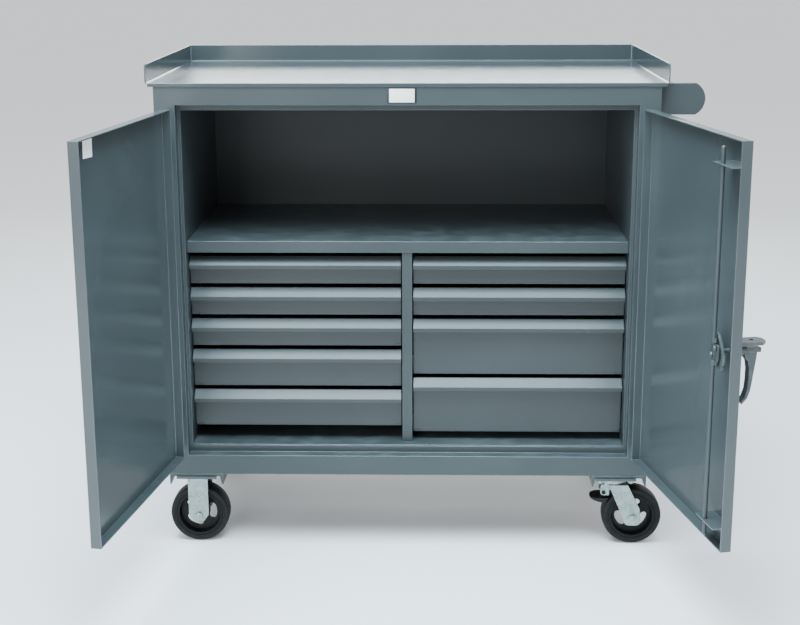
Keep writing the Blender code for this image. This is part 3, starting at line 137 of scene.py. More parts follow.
def soft_lamp(name, place, target, width, height, power, colour):
    """A wide rectangular lamp that faces its target."""
    data = bpy.data.lights.new(name, "AREA")
    data.shape = "RECTANGLE"
    data.size = width
    data.size_y = height
    data.energy = power
    data.color = colour
    lamp = bpy.data.objects.new(name, data)
    lamp.location = place
    lamp.rotation_euler = (Vector(target) - Vector(place)).to_track_quat("-Z", "Y").to_euler()
    bpy.context.scene.collection.objects.link(lamp)


soft_lamp("top_panel", (-0.3, -0.95, 3.5), (0, -0.35, 0.9), 2.8, 2.0, 420, (0.68, 0.885, 1))
soft_lamp("left_panel", (-2.3, -4.6, 1.8), (0.3, 0, 0.7), 2.4, 2.0, 150, (0.97, 0.99, 1))
soft_lamp("rear_panel", (0.05, 4.2, 2.03), (0, 0, 1.2), 2.7, 0.55, 48, (0.9, 0.97, 1))
print("lamps:", [item.name for item in bpy.data.lights])

# %% [markdown]
# ## Finishes as sums
#
# A finish is easier to read as a sum than as a web of nodes. The small class below stands for one
# output socket, and its operators add the Math nodes, so that `1 - worn * 0.5` can be written as
# it stands. Every other node comes from one method of the finish.

# %% Shader maths


class Value:
    """One output socket of a finish, ready for sums."""

    def __init__(self, finish, socket):
        self.finish = finish
        self.socket = socket

    def maths(self, operation, first, second):
        return self.finish.node("ShaderNodeMath", {"operation": operation}, [first, second])

    def __add__(self, other):
        return self.maths("ADD", self, other)

    def __radd__(self, other):
        return self.maths("ADD", other, self)

    def __sub__(self, other):
        return self.maths("SUBTRACT", self, other)

    def __rsub__(self, other):
        return self.maths("SUBTRACT", other, self)

    def __mul__(self, other):
        return self.maths("MULTIPLY", self, other)

    def __rmul__(self, other):
        return self.maths("MULTIPLY", other, self)

    def step(self, start, end):
        """0 up to start, 1 from end, and smooth between them."""
        inputs = {"Value": self, "From Min": start, "From Max": end}
        return self.finish.node("ShaderNodeMapRange", {"interpolation_type": "SMOOTHSTEP"}, inputs)


class Finish:
    """A new material with a Principled shader, whose other nodes are added one at a time."""

    def __init__(self, name, **constants):
        self.material = bpy.data.materials.new(name)
        self.material.use_nodes = True
        self.tree = self.material.node_tree
        self.shader = self.tree.nodes["Principled BSDF"]
        for socket, value in constants.items():
            self.shader.inputs[socket.replace("_", " ")].default_value = value
        self.place = self.node("ShaderNodeTexCoord", output="Object")

    def feed(self, socket, value):
        if isinstance(value, Value):
            self.tree.links.new(value.socket, socket)
        elif isinstance(value, tuple) and socket.type == "RGBA":
            socket.default_value = (*value, 1)
        else:
            socket.default_value = value

    def node(self, kind, settings=None, inputs=(), output=0):
        """Adds a node: its settings first, then the values or links of its sockets."""
        made = self.tree.nodes.new(kind)
        for name, value in (settings or {}).items():
            setattr(made, name, value)
        pairs = inputs.items() if isinstance(inputs, dict) else enumerate(inputs)
        for name, value in pairs:
            self.feed(made.inputs[name], value)
        return Value(self, made.outputs[output])

    def noise(self, size, detail=3, roughness=0.55, stretch=(1, 1, 1)):
        """Noise from 0 to 1 whose patches are about this size in metres."""
        place = self.place
        if stretch != (1, 1, 1):
            place = self.node("ShaderNodeMapping", inputs={"Vector": place, "Scale": stretch})
        inputs = {"Vector": place, "Scale": 1 / size, "Detail": detail, "Roughness": roughness}
        return self.node("ShaderNodeTexNoise", inputs=inputs)

    def cells(self, size):
        """Flat patches about this size in metres, each with a shade of its own from 0 to 1."""
        colour = self.node("ShaderNodeTexVoronoi", None, {"Vector": self.place, "Scale": 1 / size}, "Color")
        return self.node("ShaderNodeSeparateXYZ", inputs=[colour], output="X")

    def blend(self, share, first, second):
        """The first colour where share is 0 and the second where it is 1."""
        return self.node("ShaderNodeMix", {"data_type": "RGBA"}, {0: share, 6: first, 7: second}, 2)

    def edges(self, radius):
        """A rounded normal, and how strongly it leaves the face: 1 on an edge, where a finish puts wear or a
        painted highlight.
        """
        rounded = self.node("ShaderNodeBevel", {"samples": 4}, {"Radius": radius})
        flat = self.node("ShaderNodeNewGeometry", output="Normal")
        same = self.node("ShaderNodeVectorMath", {"operation": "DOT_PRODUCT"}, [rounded, flat], "Value")
        return rounded, (1 - same).step(0.01, 0.16)

    def height(self):
        """Height above the floor."""
        return self.node("ShaderNodeSeparateXYZ", inputs=[self.place], output="Z")

    def upward(self):
        """1 on a face that looks up, where dust settles."""
        normal = self.node("ShaderNodeNewGeometry", output="Normal")
        return self.node("ShaderNodeSeparateXYZ", inputs=[normal], output="Z").step(0.6, 0.98)

    def bump(self, height, depth, strength=1.0, normal=None):
        """A normal raised by a height of 0 to 1 times the depth in metres."""
        inputs = {"Height": height, "Distance": depth, "Strength": strength}
        if normal is not None:
            inputs["Normal"] = normal
        return self.node("ShaderNodeBump", inputs=inputs)

    def wear(self, **links):
        """Links what changes over the surface to the shader, and gives the material."""
        for socket, value in links.items():
            self.feed(self.shader.inputs[socket.replace("_", " ")], value)
        return self.material


print("shader maths ready")

# %% [markdown]
# ## The enamel
#
# The cabinet is sprayed with one satin enamel. Close up it has the fine orange peel of a spray
# coat and a few specks of dust under it. From a step away the sheet is not quite flat, which makes
# the soft bands on the doors. Each fold is painted lighter and made a little metallic: a painted
# highlight, where the coat is also worn thin, and here and there it is chipped down to the primer.
# Upward faces hold a little dust. The worktop, the doors and the drawers are polished more than
# the frame. The doors are a lighter copy as painted light, the drawers and the liner at the back
# darker copies as painted shade, and the tray's seams a pale copy as a painted highlight.

# %% Enamel
ENAMEL = (0.0505, 0.0625, 0.066)
ENAMEL_SPECK_AND_HIGHLIGHT = (0.21, 0.26, 0.285)
ENAMEL_DEEP = (0.0385, 0.0485, 0.0525)
PRIMER = (0.16, 0.16, 0.15)
DUST = (0.16, 0.19, 0.195)


def enamel(name, gloss=0.32, dust=0.08, wave=0.0006, shine=1.36, tone_and_painted_light=0.9):
    """Satin enamel: its gloss, the dust on it, how wavy the sheet is, its shine, and its tone, which on some
    copies is painted light or shade.
    """
    coats = (ENAMEL_SPECK_AND_HIGHLIGHT, ENAMEL, ENAMEL_DEEP)
    speck_and_highlight, full, deep = (tuple(tone_and_painted_light * part for part in colour) for colour in coats)
    finish = Finish(name, IOR=shine)
    clouds = finish.noise(0.4, detail=2)
    grain = finish.noise(0.012, detail=4)
    specks = finish.noise(0.0024, detail=1)
    rounded, edge = finish.edges(0.0024)
    colour = finish.blend(clouds.step(0.3, 0.75), deep, full)
    colour = finish.blend(specks.step(0.74, 0.8) * 0.14, colour, speck_and_highlight)
    # Folds are lightened towards the pale colour: a painted highlight, with the coat also worn thin there. The
    # metallic share on edges below adds to it.
    colour = finish.blend(edge * (0.4 + grain * 0.4), colour, speck_and_highlight)
    chipped = edge * finish.noise(0.03, detail=5).step(0.66, 0.7)
    colour = finish.blend(chipped, colour, PRIMER)
    settled = finish.upward() * finish.noise(0.05, detail=6).step(0.3, 0.85) * dust
    colour = finish.blend(settled, colour, DUST)
    sheet = finish.bump(finish.noise(0.16, detail=1), wave, 0.5, rounded)
    peel = finish.bump(finish.noise(0.0016, detail=2), 0.00006, 0.35, sheet)
    roughness = gloss - edge * 0.1 + grain * 0.05 + settled * 0.5 + chipped * 0.2
    return finish.wear(Base_Color=colour, Roughness=roughness, Metallic=edge * 0.5, Normal=peel)


cabinet_enamel = enamel("cabinet_enamel", dust=0.3, tone_and_painted_light=0.86)
# The liner is a much darker copy: painted shade inside the deep compartment.
liner_shaded_enamel = enamel("liner_shaded_enamel", dust=0.3, tone_and_painted_light=0.5)
worktop_enamel = enamel("worktop_enamel", gloss=0.14, dust=0.06, wave=0.0003, tone_and_painted_light=0.86)
# The seams are a pale copy: a painted highlight in the tray's back corners.
seam_highlight_enamel = enamel("seam_highlight_enamel", gloss=0.2, dust=0, tone_and_painted_light=1.9)
# The drawers are a darker copy: painted shade in their recess.
drawer_shaded_enamel = enamel("drawer_shaded_enamel", gloss=0.27, dust=0.05, wave=0.0002, shine=1.42, tone_and_painted_light=0.64)
# The doors are a lighter copy: painted light.
door_lit_enamel = enamel("door_lit_enamel", gloss=0.18, dust=0.05, wave=0.0005, shine=1.5, tone_and_painted_light=1.05)
print("enamels:", [made.name for made in bpy.data.materials if made.name.endswith("_enamel")])

# %% [markdown]
# ## Metals
#
# The casters are pressed steel with a bright zinc plating, which clouds as it ages and keeps a
# faint green cast. The zinc's edges are lightened as a painted highlight. Above the height of the
# top plates the zinc turns to the dark enamel, as painted shade under the body. The latch is cast
# and turned steel under a thin spray of the same enamel, rubbed through to grey metal on its edges.

# %% Zinc plate and latch steel
ZINC = (0.26, 0.31, 0.293)
ZINC_CLOUDED = (0.17, 0.21, 0.198)
ZINC_SPANGLE_AND_HIGHLIGHT = (0.6, 0.66, 0.64)
STEEL = (0.38, 0.4, 0.4)
LATCH_THICK = (0.042, 0.054, 0.057)
LATCH_THIN = (0.068, 0.083, 0.087)
PLATE_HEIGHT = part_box("left_front_fork")[1].z - 0.006


def zinc_plate(name, shade_above_plates):
    """Zinc that is bare, or that turns to dark enamel from the height of the caster plates up as painted shade."""
    finish = Finish(name)
    clouds = finish.noise(0.02, detail=4)
    spangle = finish.cells(0.0035)
    scratches = finish.noise(0.0006, detail=2, stretch=(1, 1, 0.08))
    rounded, edge = finish.edges(0.0008)
    colour = finish.blend(clouds.step(0.35, 0.7), ZINC_CLOUDED, ZINC)
    # Spangle and edges are lightened: the spangle is the plating's own, the lighter edges a painted highlight.
    colour = finish.blend(spangle * 0.22 + edge * 0.4, colour, ZINC_SPANGLE_AND_HIGHLIGHT)
    metallic = 0.84 + edge * 0.16
    roughness = 0.22 + clouds * 0.18 + spangle * 0.05 - edge * 0.08
    # Above the plates the zinc turns to dark enamel and loses its metal: painted shade under the body.
    if shade_above_plates:
        reach = PLATE_HEIGHT - 0.0006 + finish.noise(0.01) * 0.001
        plate_shade = (finish.height() - reach).step(-0.0006, 0.0006)
        colour = finish.blend(plate_shade, colour, ENAMEL_DEEP)
        metallic = metallic * (1 - plate_shade)
    relief = finish.bump(scratches + clouds, 0.00004, 0.4, rounded)
    return finish.wear(Base_Color=colour, Metallic=metallic, Roughness=roughness, Normal=relief)


def latch_coat(name):
    finish = Finish(name)
    patches = finish.noise(0.014, detail=4)
    cast = finish.noise(0.0022, detail=3)
    rounded, edge = finish.edges(0.0012)
    worn = edge * patches.step(0.38, 0.62)
    colour = finish.blend(patches.step(0.3, 0.7), LATCH_THICK, LATCH_THIN)
    colour = finish.blend(worn, colour, STEEL)
    relief = finish.bump(cast, 0.00018, 0.5, rounded)
    roughness = 0.3 + patches * 0.12 - worn * 0.1
    return finish.wear(Base_Color=colour, Metallic=worn * 0.9, Roughness=roughness, Normal=relief)


zinc = zinc_plate("zinc_plate", False)
shaded_zinc = zinc_plate("shaded_zinc", True)
latch_steel = latch_coat("latch_coat")
print("metals:", zinc.name, shaded_zinc.name, latch_steel.name)

# %% [markdown]
# ## Rubber, moulded core and pedal
#
# The tyres are dark rubber with a dull bloom, dusty where they roll. The cores and the brake
# pedals are black castings and mouldings with a fine sparked grain, scuffed paler on their edges.

# %% Rubber and plastics
RUBBER = (0.005, 0.0055, 0.0054)
RUBBER_BLOOM = (0.01, 0.011, 0.0107)
RUBBER_DUSTY = (0.026, 0.028, 0.027)


def tyre_rubber(name):
    finish = Finish(name, IOR=1.27)
    bloom = finish.noise(0.018, detail=4)
    speckle = finish.noise(0.0012, detail=2)
    rounded, edge = finish.edges(0.0006)
    colour = finish.blend(bloom.step(0.35, 0.7), RUBBER, RUBBER_BLOOM)
    colour = finish.blend(speckle.step(0.62, 0.75) * 0.3 + edge * 0.2, colour, RUBBER_DUSTY)
    skin = finish.bump(speckle, 0.00008, 0.4, rounded)
    return finish.wear(Base_Color=colour, Roughness=0.46 + bloom * 0.2, Normal=skin)


def moulded_plastic(name, colour, scuffed):
    finish = Finish(name, IOR=1.26)
    clouds = finish.noise(0.01, detail=3)
    rounded, edge = finish.edges(0.0008)
    shade = finish.blend(edge * 0.6 + clouds.step(0.6, 0.8) * 0.25, colour, scuffed)
    grain = finish.bump(finish.noise(0.0009, detail=1), 0.00006, 0.4, rounded)
    return finish.wear(Base_Color=shade, Roughness=0.38 + clouds * 0.14, Normal=grain)


rubber = tyre_rubber("tyre_rubber")
core_plastic = moulded_plastic("core_plastic", (0.004, 0.0045, 0.0045), (0.018, 0.02, 0.0195))
pedal_plastic = moulded_plastic("pedal_plastic", (0.008, 0.009, 0.0088), (0.035, 0.038, 0.036))
print("moulded:", rubber.name, core_plastic.name, pedal_plastic.name)

# %% [markdown]
# ## Labels and the floor
#
# The header carries a small printed plate and the left door a paper inspection label. Both are
# left blank here: the plate is brushed aluminium inside a dark printed border, and the label is
# plain white stock. The floor is matt, with the faintest mottling.

# %% Label stock, brushed plate and floor


def brushed_plate(name, colour, edge_colour):
    finish = Finish(name, Metallic=0.3)
    lines = finish.noise(0.0011, detail=3, stretch=(0.05, 1, 1))
    rounded, edge = finish.edges(0.0004)
    shade = finish.blend(edge * 0.7 + lines * 0.12, colour, edge_colour)
    scratch = finish.bump(lines, 0.00003, 0.5, rounded)
    return finish.wear(Base_Color=shade, Roughness=0.32 + lines * 0.16, Normal=scratch)


def matt_stock(name, colour, mottled, size):
    finish = Finish(name)
    mottle = finish.noise(size, detail=4)
    shade = finish.blend(mottle, colour, mottled)
    tooth = finish.bump(finish.noise(size / 20), size / 200, 0.2)
    return finish.wear(Base_Color=shade, Roughness=0.55 + mottle * 0.2, Normal=tooth)


plate_face = brushed_plate("plate_face", (0.86, 0.88, 0.87), (0.95, 0.96, 0.96))
plate_border = brushed_plate("plate_border", (0.012, 0.013, 0.015), (0.08, 0.085, 0.09))
label_stock = matt_stock("label_stock", (0.9, 0.91, 0.9), (0.82, 0.84, 0.83), 0.012)
floor_paint = matt_stock("floor_paint", (0.93, 0.935, 0.94), (0.9, 0.905, 0.91), 0.7)
studio_floor.data.materials.append(floor_paint)
print("stock:", plate_face.name, label_stock.name, floor_paint.name)

# %% [markdown]
# ## Finishes on the imported pieces
#
# Most of the imported pieces already have the right shape, so they only trade their plain colour
# for one of the finishes. The rods and the hinge pins were sprayed with the cabinet, so they
# take its enamel as well. The forks and the top plates share one zinc, which turns to dark enamel
# near the body as painted shade.

# %% Dress the imported pieces
FINISH_OF_SLOT = {
    "paint": cabinet_enamel,
    "zinc": zinc,
    "lock_steel": latch_steel,
    "tyre": rubber,
    "wheel_core": core_plastic,
    "black_plastic": pedal_plastic,
}
slot_of_node = {part["node"]: part["material_slot"] for part in frame["record"]["subparts"]}


def finish_for(name):
    if name == "worktop_tray":
        return worktop_enamel
    if name == "back_liner":
        return liner_shaded_enamel
    if "drawer" in name:
        return drawer_shaded_enamel
    if name.endswith("_door"):
        return door_lit_enamel
    if name.endswith("_fork") or name.endswith("_plate"):
        return shaded_zinc
    if "rod" in name or "hinge_pin" in name:
        return cabinet_enamel
    return FINISH_OF_SLOT[slot_of_node[name]]


for name, node in nodes.items():
    for slot in node.material_slots:
        slot.material = finish_for(name)
print("dressed", len(nodes), "packed pieces")

# %% [markdown]
# ## Tools for small pieces
#
# Each new piece starts as a bmesh: a box, a disc or a profile that is spun. It is put in place
# while it is still loose vertices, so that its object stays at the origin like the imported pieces,
# and it is then told which body carries it.

# %% Shapes and the call that finishes a piece
SMOOTH = math.radians(35)
WELD = 0.000002
NUT_WASHER = 0.0012
FACING_FRONT = Matrix.Rotation(math.pi / 2, 4, "X")
FACING_BACK = Matrix.Rotation(-math.pi / 2, 4, "X")
FACING_DOWN = Matrix.Rotation(math.pi, 4, "X")


def at(x, y, z):
    """A move to a place."""
    return Matrix.Translation((x, y, z))


def closed(profile):
    """A profile that ends where it starts."""
    return [*profile, profile[0]]


def finish_piece(name, shape, material, body):
    """Makes an object of the shape and lets it ride on a body."""
    bmesh.ops.recalc_face_normals(shape, faces=shape.faces)
    mesh = bpy.data.meshes.new(name)
    shape.to_mesh(mesh)
    shape.free()
    mesh.shade_smooth()
    mesh.set_sharp_from_angle(angle=SMOOTH)
    mesh.materials.append(material)
    made = bpy.data.objects.new(name, mesh)
    bpy.context.scene.collection.objects.link(made)
    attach(made, body)
    return made


def new_verts(shape, known):
    return [vert for vert in shape.verts if vert not in known]


def new_edges(shape, known):
    return {edge for vert in new_verts(shape, known) for edge in vert.link_edges}


def top_edges(shape, known, height):
    return [edge for edge in new_edges(shape, known) if min(end.co.z for end in edge.verts) > height * 0.9]


def soften(shape, edges, width, segments=2):
    """Rounds the edges by a bevel of this width."""
    bmesh.ops.bevel(
        shape,
        geom=list(edges),
        offset=width,
        offset_type="OFFSET",
        segments=segments,
        profile=0.5,
        affect="EDGES",
        material=-1,
    )


def add_slab(shape, place, size, corner=0, rim=0):
    """A plate across its own Z, with round corners and a softened rim, set by the matrix place."""
    known = set(shape.verts)
    bmesh.ops.create_cube(shape, size=1, matrix=Matrix.Diagonal((*size, 1)))
    half = size[2] / 2
    if corner:
        upright = [edge for edge in new_edges(shape, known) if edge.verts[0].co.z * edge.verts[1].co.z < 0]
        soften(shape, upright, corner, 5)
    if rim:
        soften(shape, top_edges(shape, known, half), rim)
    bmesh.ops.transform(shape, matrix=place, verts=new_verts(shape, known))


def add_spun(shape, place, profile, steps=32):
    """A round body: radius and height of each point of a profile, spun about its own Z."""
    known = set(shape.verts)
    verts = [shape.verts.new((radius, 0, height)) for radius, height in profile]
    edges = [shape.edges.new(pair) for pair in zip(verts, verts[1:])]
    bmesh.ops.spin(
        shape,
        geom=verts + edges,
        cent=(0, 0, 0),
        axis=(0, 0, 1),
        angle=2 * math.pi,
        steps=steps,
        use_merge=True,
        use_duplicate=False,
    )
    bmesh.ops.remove_doubles(shape, verts=new_verts(shape, known), dist=WELD)
    bmesh.ops.transform(shape, matrix=place, verts=new_verts(shape, known))


def add_hex(shape, place, radius, height):
    """A hexagon nut or bolt head that stands on its own Z, with a chamfered top."""
    known = set(shape.verts)
    bmesh.ops.create_cone(
        shape,
        cap_ends=True,
        segments=6,
        radius1=radius,
        radius2=radius,
        depth=height,
        matrix=at(0, 0, height / 2),
    )
    soften(shape, top_edges(shape, known, height), radius * 0.09)
    bmesh.ops.transform(shape, matrix=place, verts=new_verts(shape, known))


def add_washer(shape, place, inner, outer, thickness):
    """A flat ring with a broken outer edge, standing on its own Z."""
    edge = thickness * 0.3
    outside = [(outer, 0), (outer, thickness - edge), (outer - edge, thickness)]
    add_spun(shape, place, closed([(inner, 0), *outside, (inner, thickness)]), 28)


def add_bolt(shape, place, radius, height, stud):
    """A washer, a nut and the domed end of its bolt."""
    add_washer(shape, place, stud * 1.1, radius * 1.3, NUT_WASHER)
    add_hex(shape, place @ at(0, 0, NUT_WASHER), radius, height)
    top = height + NUT_WASHER
    tip = [(0, 0.001), (stud, 0.001), (stud, top + 0.0012), (stud * 0.75, top + 0.0024), (0, top + 0.0028)]
    add_spun(shape, place, tip, 20)


print("shape tools ready")

# %% [markdown]
# ## The header plate and the door label
#
# The plate is a thin stamped blank with round corners. A dark border lies under a slightly
# smaller bright face, as on a printed nameplate with its print left off. The label is a sheet of
# paper only a fifth of a millimetre thick, stuck on a few degrees out of true.

# %% Header plate and label
PLATE_X = MIDDLE_X - 0.01065
PLATE_Z = 1.1645
FACE_SIZE = (0.0607, 0.0322, 0.0004)
BORDER_SIDE = 0.0052
BORDER_END = 0.0022
BORDER_SIZE = (FACE_SIZE[0] + 2 * BORDER_SIDE, FACE_SIZE[1] + 2 * BORDER_END, 0.0008)
border = bmesh.new()
add_slab(border, at(PLATE_X, FRONT_Y - 0.0004, PLATE_Z) @ FACING_FRONT, BORDER_SIZE, 0.0018, 0.0002)
finish_piece("header_plate_border", border, plate_border, "body")
face = bmesh.new()
add_slab(face, at(PLATE_X, FRONT_Y - 0.0009, PLATE_Z) @ FACING_FRONT, FACE_SIZE, 0.001, 0.0001)
finish_piece("header_plate_face", face, plate_face, "body")

LABEL_ALONG = 0.4895
LABEL_HEIGHT = 1.1095
LABEL_SIZE = (0.0485, 0.0425, 0.0002)
LABEL_TURN = Matrix.Rotation(math.radians(-3), 4, "Z")
label = bmesh.new()
label_spot = at(LABEL_ALONG, DOOR_FACE + SHEET + LABEL_SIZE[2], LABEL_HEIGHT)
add_slab(label, left_door_frame @ label_spot @ FACING_BACK @ LABEL_TURN, LABEL_SIZE, 0.0008)
finish_piece("door_label", label, label_stock, "left_door")
print("plate and label in place")

# %% [markdown]
# ## Tyres and wheel trim
#
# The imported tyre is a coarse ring. The real one is moulded: its side wall has a raised bead next
# to the core and a shallow groove, its shoulder is round, and a fine parting line runs round the
# middle of the tread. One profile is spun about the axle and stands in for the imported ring. The
# core gets the machined collar of its hub and the lip that holds the bead, spun the same way.
# Every profile is a row of points: the distance from the axle and the place along it.

# %% Tyres and wheel trim
TYRE_PROFILE = (
    (0.0603, 0.0236),
    (0.0607, 0.0245),
    (0.063, 0.0247),
    (0.0636, 0.0239),
    (0.0646, 0.0239),
    (0.0656, 0.0248),
    (0.0694, 0.0252),
    (0.0722, 0.0243),
    (0.0744, 0.0218),
    (0.0755, 0.0178),
    (0.0759, 0.009),
    (0.076, 0.0007),
    (0.0762, 0.0004),
)
TYRE_STEPS = 96
HUB_COLLAR = ((0.0105, 0.0308), (0.0168, 0.0308), (0.0168, 0.0315), (0.0158, 0.0321), (0.0112, 0.0321))
RIM_LIP = ((0.0542, 0.0233), (0.0588, 0.0233), (0.0588, 0.024), (0.0574, 0.0246), (0.0552, 0.0244))


def axle_centre(name):
    """The middle of a wheel's part or of its axle."""
    low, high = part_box(name)
    return (low + high) / 2


def make_tyre(name, body):
    """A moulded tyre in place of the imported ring."""
    mirrored = [(radius, -along) for radius, along in reversed(TYRE_PROFILE)]
    shape = bmesh.new()
    place = Matrix.Translation(axle_centre(name)) @ FACING_FRONT
    add_spun(shape, place, closed([*TYRE_PROFILE, *mirrored]), TYRE_STEPS)
    made = finish_piece(f"{name}_moulded", shape, rubber, body)
    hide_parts(name)


def make_wheel_trim(name, body):
    """The hub's collar and the rim's lip on both faces of a core."""
    shape = bmesh.new()
    for facing in (FACING_FRONT, FACING_BACK):
        place = Matrix.Translation(axle_centre(name)) @ facing
        add_spun(shape, place, closed(HUB_COLLAR), 40)
        add_spun(shape, place, closed(RIM_LIP), 72)
    finish_piece(f"{name}_trim", shape, core_plastic, body)


for side in ("left", "right"):
    for end in ("front", "rear"):
        make_tyre(f"{side}_{end}_tyre", f"{side}_{end}_wheel")
        make_wheel_trim(f"{side}_{end}_core", f"{side}_{end}_wheel")
print("tyres of", len(TYRE_PROFILE) * 2, "rings")

# %% [markdown]
# ## Caster hardware
#
# The fixed casters are welded to their channel and the turning ones are bolted up with four nuts.
# Each axle carries a thrust washer on both sides of the hub and a domed end beyond its nut. The
# fixed forks have a pressed crease, a round dimple and two raised shoulders, and the turning ones
# a ball race whose dust lip hides the gap under the plate.

# %% Caster hardware
PLATE_SHEET = 0.006
HUB_HALF = 0.031
LEG_REACH = 0.0385
LEG_INNER = 0.0337
CREASE_HEIGHT = 0.1305
DIMPLE_HEIGHT = 0.1175
CREASE_SIZE = (0.036, 0.0036, 0.002)
DIMPLE_RING = ((0.0018, -0.0002), (0.0052, -0.0002), (0.0046, 0.0011), (0.0028, 0.0013))
GUSSET_SIZE = (0.0075, 0.013, 0.0012)
GUSSET_TURN = math.radians(38)
AXLE_DOME = ((0, -0.001), (0.0066, -0.001), (0.006, 0.0006), (0.004, 0.0014), (0, 0.0017))
RACE_LIP = ((0.0353, -0.0165), (0.0367, -0.0165), (0.0377, -0.0125), (0.0367, -0.0085), (0.0353, -0.0085))
PLATE_BOLTS = [(aside, along) for aside in (-0.039, 0.039) for along in (-0.046, 0.046)]
RIPPLE = 0.0032


def add_bead(shape, start, end, width=0.005):
    """A weld: small flat ripples in a row from start to end."""
    start, end = Vector(start), Vector(end)
    count = max(2, round((end - start).length / RIPPLE))
    turn = (end - start).to_track_quat("X", "Z").to_matrix().to_4x4()
    scale = Matrix.Diagonal((RIPPLE * 0.85, width / 2, width * 0.36, 1))
    for step in range(count + 1):
        spot = Matrix.Translation(start.lerp(end, step / count))
        bmesh.ops.create_icosphere(shape, subdivisions=1, radius=1, matrix=spot @ turn @ scale)


def add_axle_ends(shape, low, high):
    """The domed end of an axle beyond each of its nuts."""
    middle = (low + high) / 2
    for end_y, facing in ((low.y, FACING_FRONT), (high.y, FACING_BACK)):
        add_spun(shape, at(middle.x, end_y, middle.z) @ facing, AXLE_DOME, 28)


def add_thrust_washers(shape, middle):
    """The washers between a hub and its fork."""
    for facing in (FACING_FRONT, FACING_BACK):
        place = Matrix.Translation(middle) @ facing @ at(0, 0, HUB_HALF + 0.0013)
        add_washer(shape, place, 0.0065, 0.0098, LEG_INNER - HUB_HALF - 0.0016)


def add_leg_marks(shape, middle):
    """The crease, the dimple and the pressed shoulders on both legs of a fixed fork."""
    for side, facing in ((-1, FACING_FRONT), (1, FACING_BACK)):
        face_y = middle.y + side * LEG_REACH
        add_slab(shape, at(middle.x - 0.004, face_y, CREASE_HEIGHT) @ facing, CREASE_SIZE, 0.0017, 0.0008)
        add_spun(shape, at(middle.x + 0.002, face_y, DIMPLE_HEIGHT) @ facing, closed(DIMPLE_RING), 24)
        for corner in (-1, 1):
            gusset = at(middle.x + corner * 0.0185, face_y, PLATE_HEIGHT - 0.0105) @ facing
            turn = Matrix.Rotation(corner * GUSSET_TURN, 4, "Z")
            add_slab(shape, gusset @ turn, GUSSET_SIZE, 0.003, 0.0005)


for end in ("front", "rear"):
    fixed = bmesh.new()
    low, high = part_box(f"left_{end}_fork")
    add_axle_ends(fixed, *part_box(f"left_{end}_axle"))
    add_thrust_washers(fixed, axle_centre(f"left_{end}_axle"))
    add_leg_marks(fixed, (low + high) / 2)
    finish_piece(f"left_{end}_hardware", fixed, zinc, "body")
    welds = bmesh.new()
    for edge_x in (low.x + 0.001, high.x - 0.001):
        add_bead(welds, (edge_x, low.y + 0.004, high.z - 0.001), (edge_x, high.y - 0.004, high.z - 0.001))
    finish_piece(f"left_{end}_plate_welds", welds, cabinet_enamel, "body")

    low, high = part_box(f"right_{end}_plate")
    middle = (low + high) / 2
    bolted = bmesh.new()
    for aside, along in PLATE_BOLTS:
        spot = at(middle.x + aside, middle.y + along, high.z - PLATE_SHEET) @ FACING_DOWN
        add_bolt(bolted, spot, 0.0078, 0.0062, 0.0042)
    finish_piece(f"right_{end}_plate_bolts", bolted, zinc, "body")
    race = bmesh.new()
    add_spun(race, at(middle.x, middle.y, high.z - PLATE_SHEET + 0.0005), closed(RACE_LIP), 64)
    finish_piece(f"right_{end}_race_lip", race, zinc, "body")
    turning = bmesh.new()
    add_axle_ends(turning, *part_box(f"right_{end}_axle"))
    add_thrust_washers(turning, axle_centre(f"right_{end}_axle"))
    finish_piece(f"right_{end}_axle_fittings", turning, zinc, f"right_{end}_swivel")
print("caster hardware done")

# %% [markdown]
# ## Weld beads
#
# The hinges and the push handle are welded on, and the tray's lips are welded
# where they meet at the back. A bead is a row of small overlapping ripples pressed flat against
# the sheet, so one low dome is repeated along the joint and then painted.

# %% Weld beads
grip_low, grip_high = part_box("push_grip")
grip_middle = (grip_low + grip_high) / 2
grip_radius = (grip_high.z - grip_low.z) / 2
handle_welds = bmesh.new()
for end_y, inward in ((grip_low.y, 1), (grip_high.y, -1)):
    centre = Vector((grip_middle.x, end_y + inward * 0.001, grip_middle.z))
    turns = [step * math.pi / 12 for step in range(25)]
    rim = [centre + grip_radius * Vector((math.cos(turn), 0, math.sin(turn))) for turn in turns]
    for first, second in zip(rim, rim[1:]):
        add_bead(handle_welds, first, second, 0.0042)
for name in ("handle_bracket_front", "handle_bracket_rear"):
    low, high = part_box(name)
    for face_y in (low.y, high.y):
        add_bead(handle_welds, (low.x, face_y, low.z + 0.006), (low.x, face_y, high.z - 0.006))
finish_piece("push_handle_welds", handle_welds, cabinet_enamel, "body")

tray_low, tray_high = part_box("worktop_tray")
tray_welds = bmesh.new()
TRAY_LIP = 0.046
for corner_x, inward in ((tray_low.x, 1), (tray_high.x, -1)):
    inside = (corner_x + inward * (SHEET + 0.0008), tray_high.y - SHEET - 0.0008)
    add_bead(tray_welds, (*inside, tray_high.z - TRAY_LIP + 0.004), (*inside, tray_high.z - 0.003), 0.0036)
# The corner welds take the pale copy of the enamel: a painted highlight.
finish_piece("tray_corner_welds", tray_welds, seam_highlight_enamel, "body")

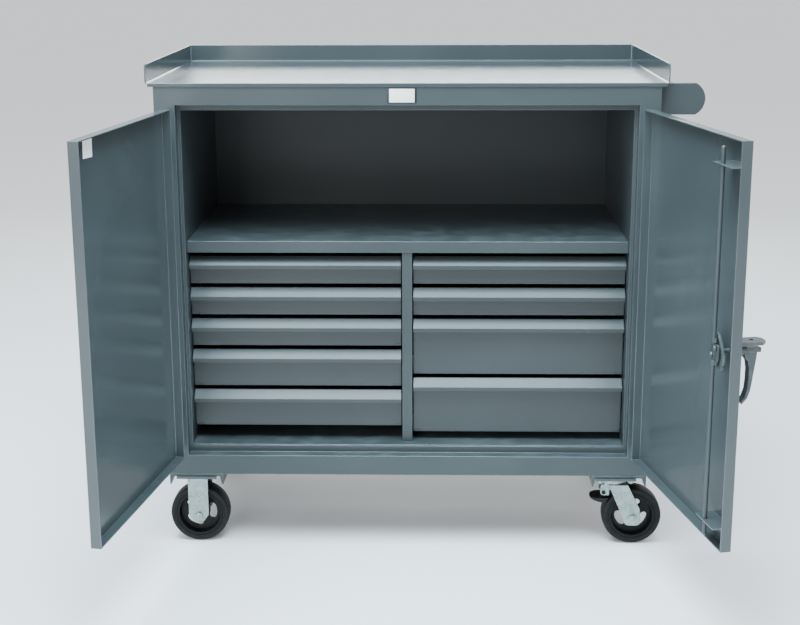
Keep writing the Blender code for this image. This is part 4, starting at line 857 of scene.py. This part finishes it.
STRAP_START = 0.036
STRAP_END = 0.082
STRAP_HALF = 0.018
STRAP_BEAD = 0.0038
LEAF_HALF = 0.038
LEAF_WIDTH = 0.0135
hinge_heights = sorted(round(axle_centre(f"left_hinge_pin_{number}").z, 4) for number in (1, 2))
leaf_welds = bmesh.new()
for side, place, door in ((-1, left_door_frame, "left_door"), (1, right_door_frame, "right_door")):
    strap_welds = bmesh.new()
    for height in hinge_heights:
        below, above = [
            [place @ Vector((-side * along, DOOR_FACE, height + edge)) for along in (STRAP_START, STRAP_END)]
            for edge in (-STRAP_HALF, STRAP_HALF)
        ]
        for start, end in (below, above, (below[1], above[1])):
            add_bead(strap_welds, start, end, STRAP_BEAD)
        outer = MIDDLE_X + side * ((frame_high.x - frame_low.x) / 2 - 0.003)
        inner = outer - side * LEAF_WIDTH
        for edge in (-LEAF_HALF, LEAF_HALF):
            add_bead(leaf_welds, (outer, FRONT_Y, height + edge), (inner, FRONT_Y, height + edge), STRAP_BEAD)
    finish_piece(f"{door}_strap_welds", strap_welds, cabinet_enamel, door)
finish_piece("hinge_leaf_welds", leaf_welds, cabinet_enamel, "body")
print("welds done, hinges at", hinge_heights)

# %% [markdown]
# ## The latch
#
# Behind the right door a cam throws two rods. A domed nut holds the cam on its spindle, and each
# of the cam's pins ends in a washer and a round riveted head, which keep the slotted yokes on.

# %% Latch hardware
CAM_NUT_END = 0.0315
PIN_END = 0.0399
CRANK_RADIUS = 0.0125
SPINDLE_DOME = ((0, 0), (0.0048, 0), (0.0044, 0.0028), (0.0028, 0.0038), (0, 0.0042))
RIVET_DOME = ((0, 0), (0.0042, 0), (0.0038, 0.0011), (0.0022, 0.0018), (0, 0.002))
latch_bits = bmesh.new()
spindle_end = latch_frame @ at(0, CAM_NUT_END - 0.001, 0) @ FACING_BACK
add_spun(latch_bits, spindle_end, SPINDLE_DOME, 24)
for turn in (math.radians(-45), math.radians(135)):
    spot = latch_frame @ at(CRANK_RADIUS * math.cos(turn), PIN_END - 0.0004, CRANK_RADIUS * math.sin(turn))
    add_spun(latch_bits, spot @ FACING_BACK, RIVET_DOME, 24)
finish_piece("latch_pin_heads", latch_bits, latch_steel, "latch")
print("latch hardware done")

# %% [markdown]
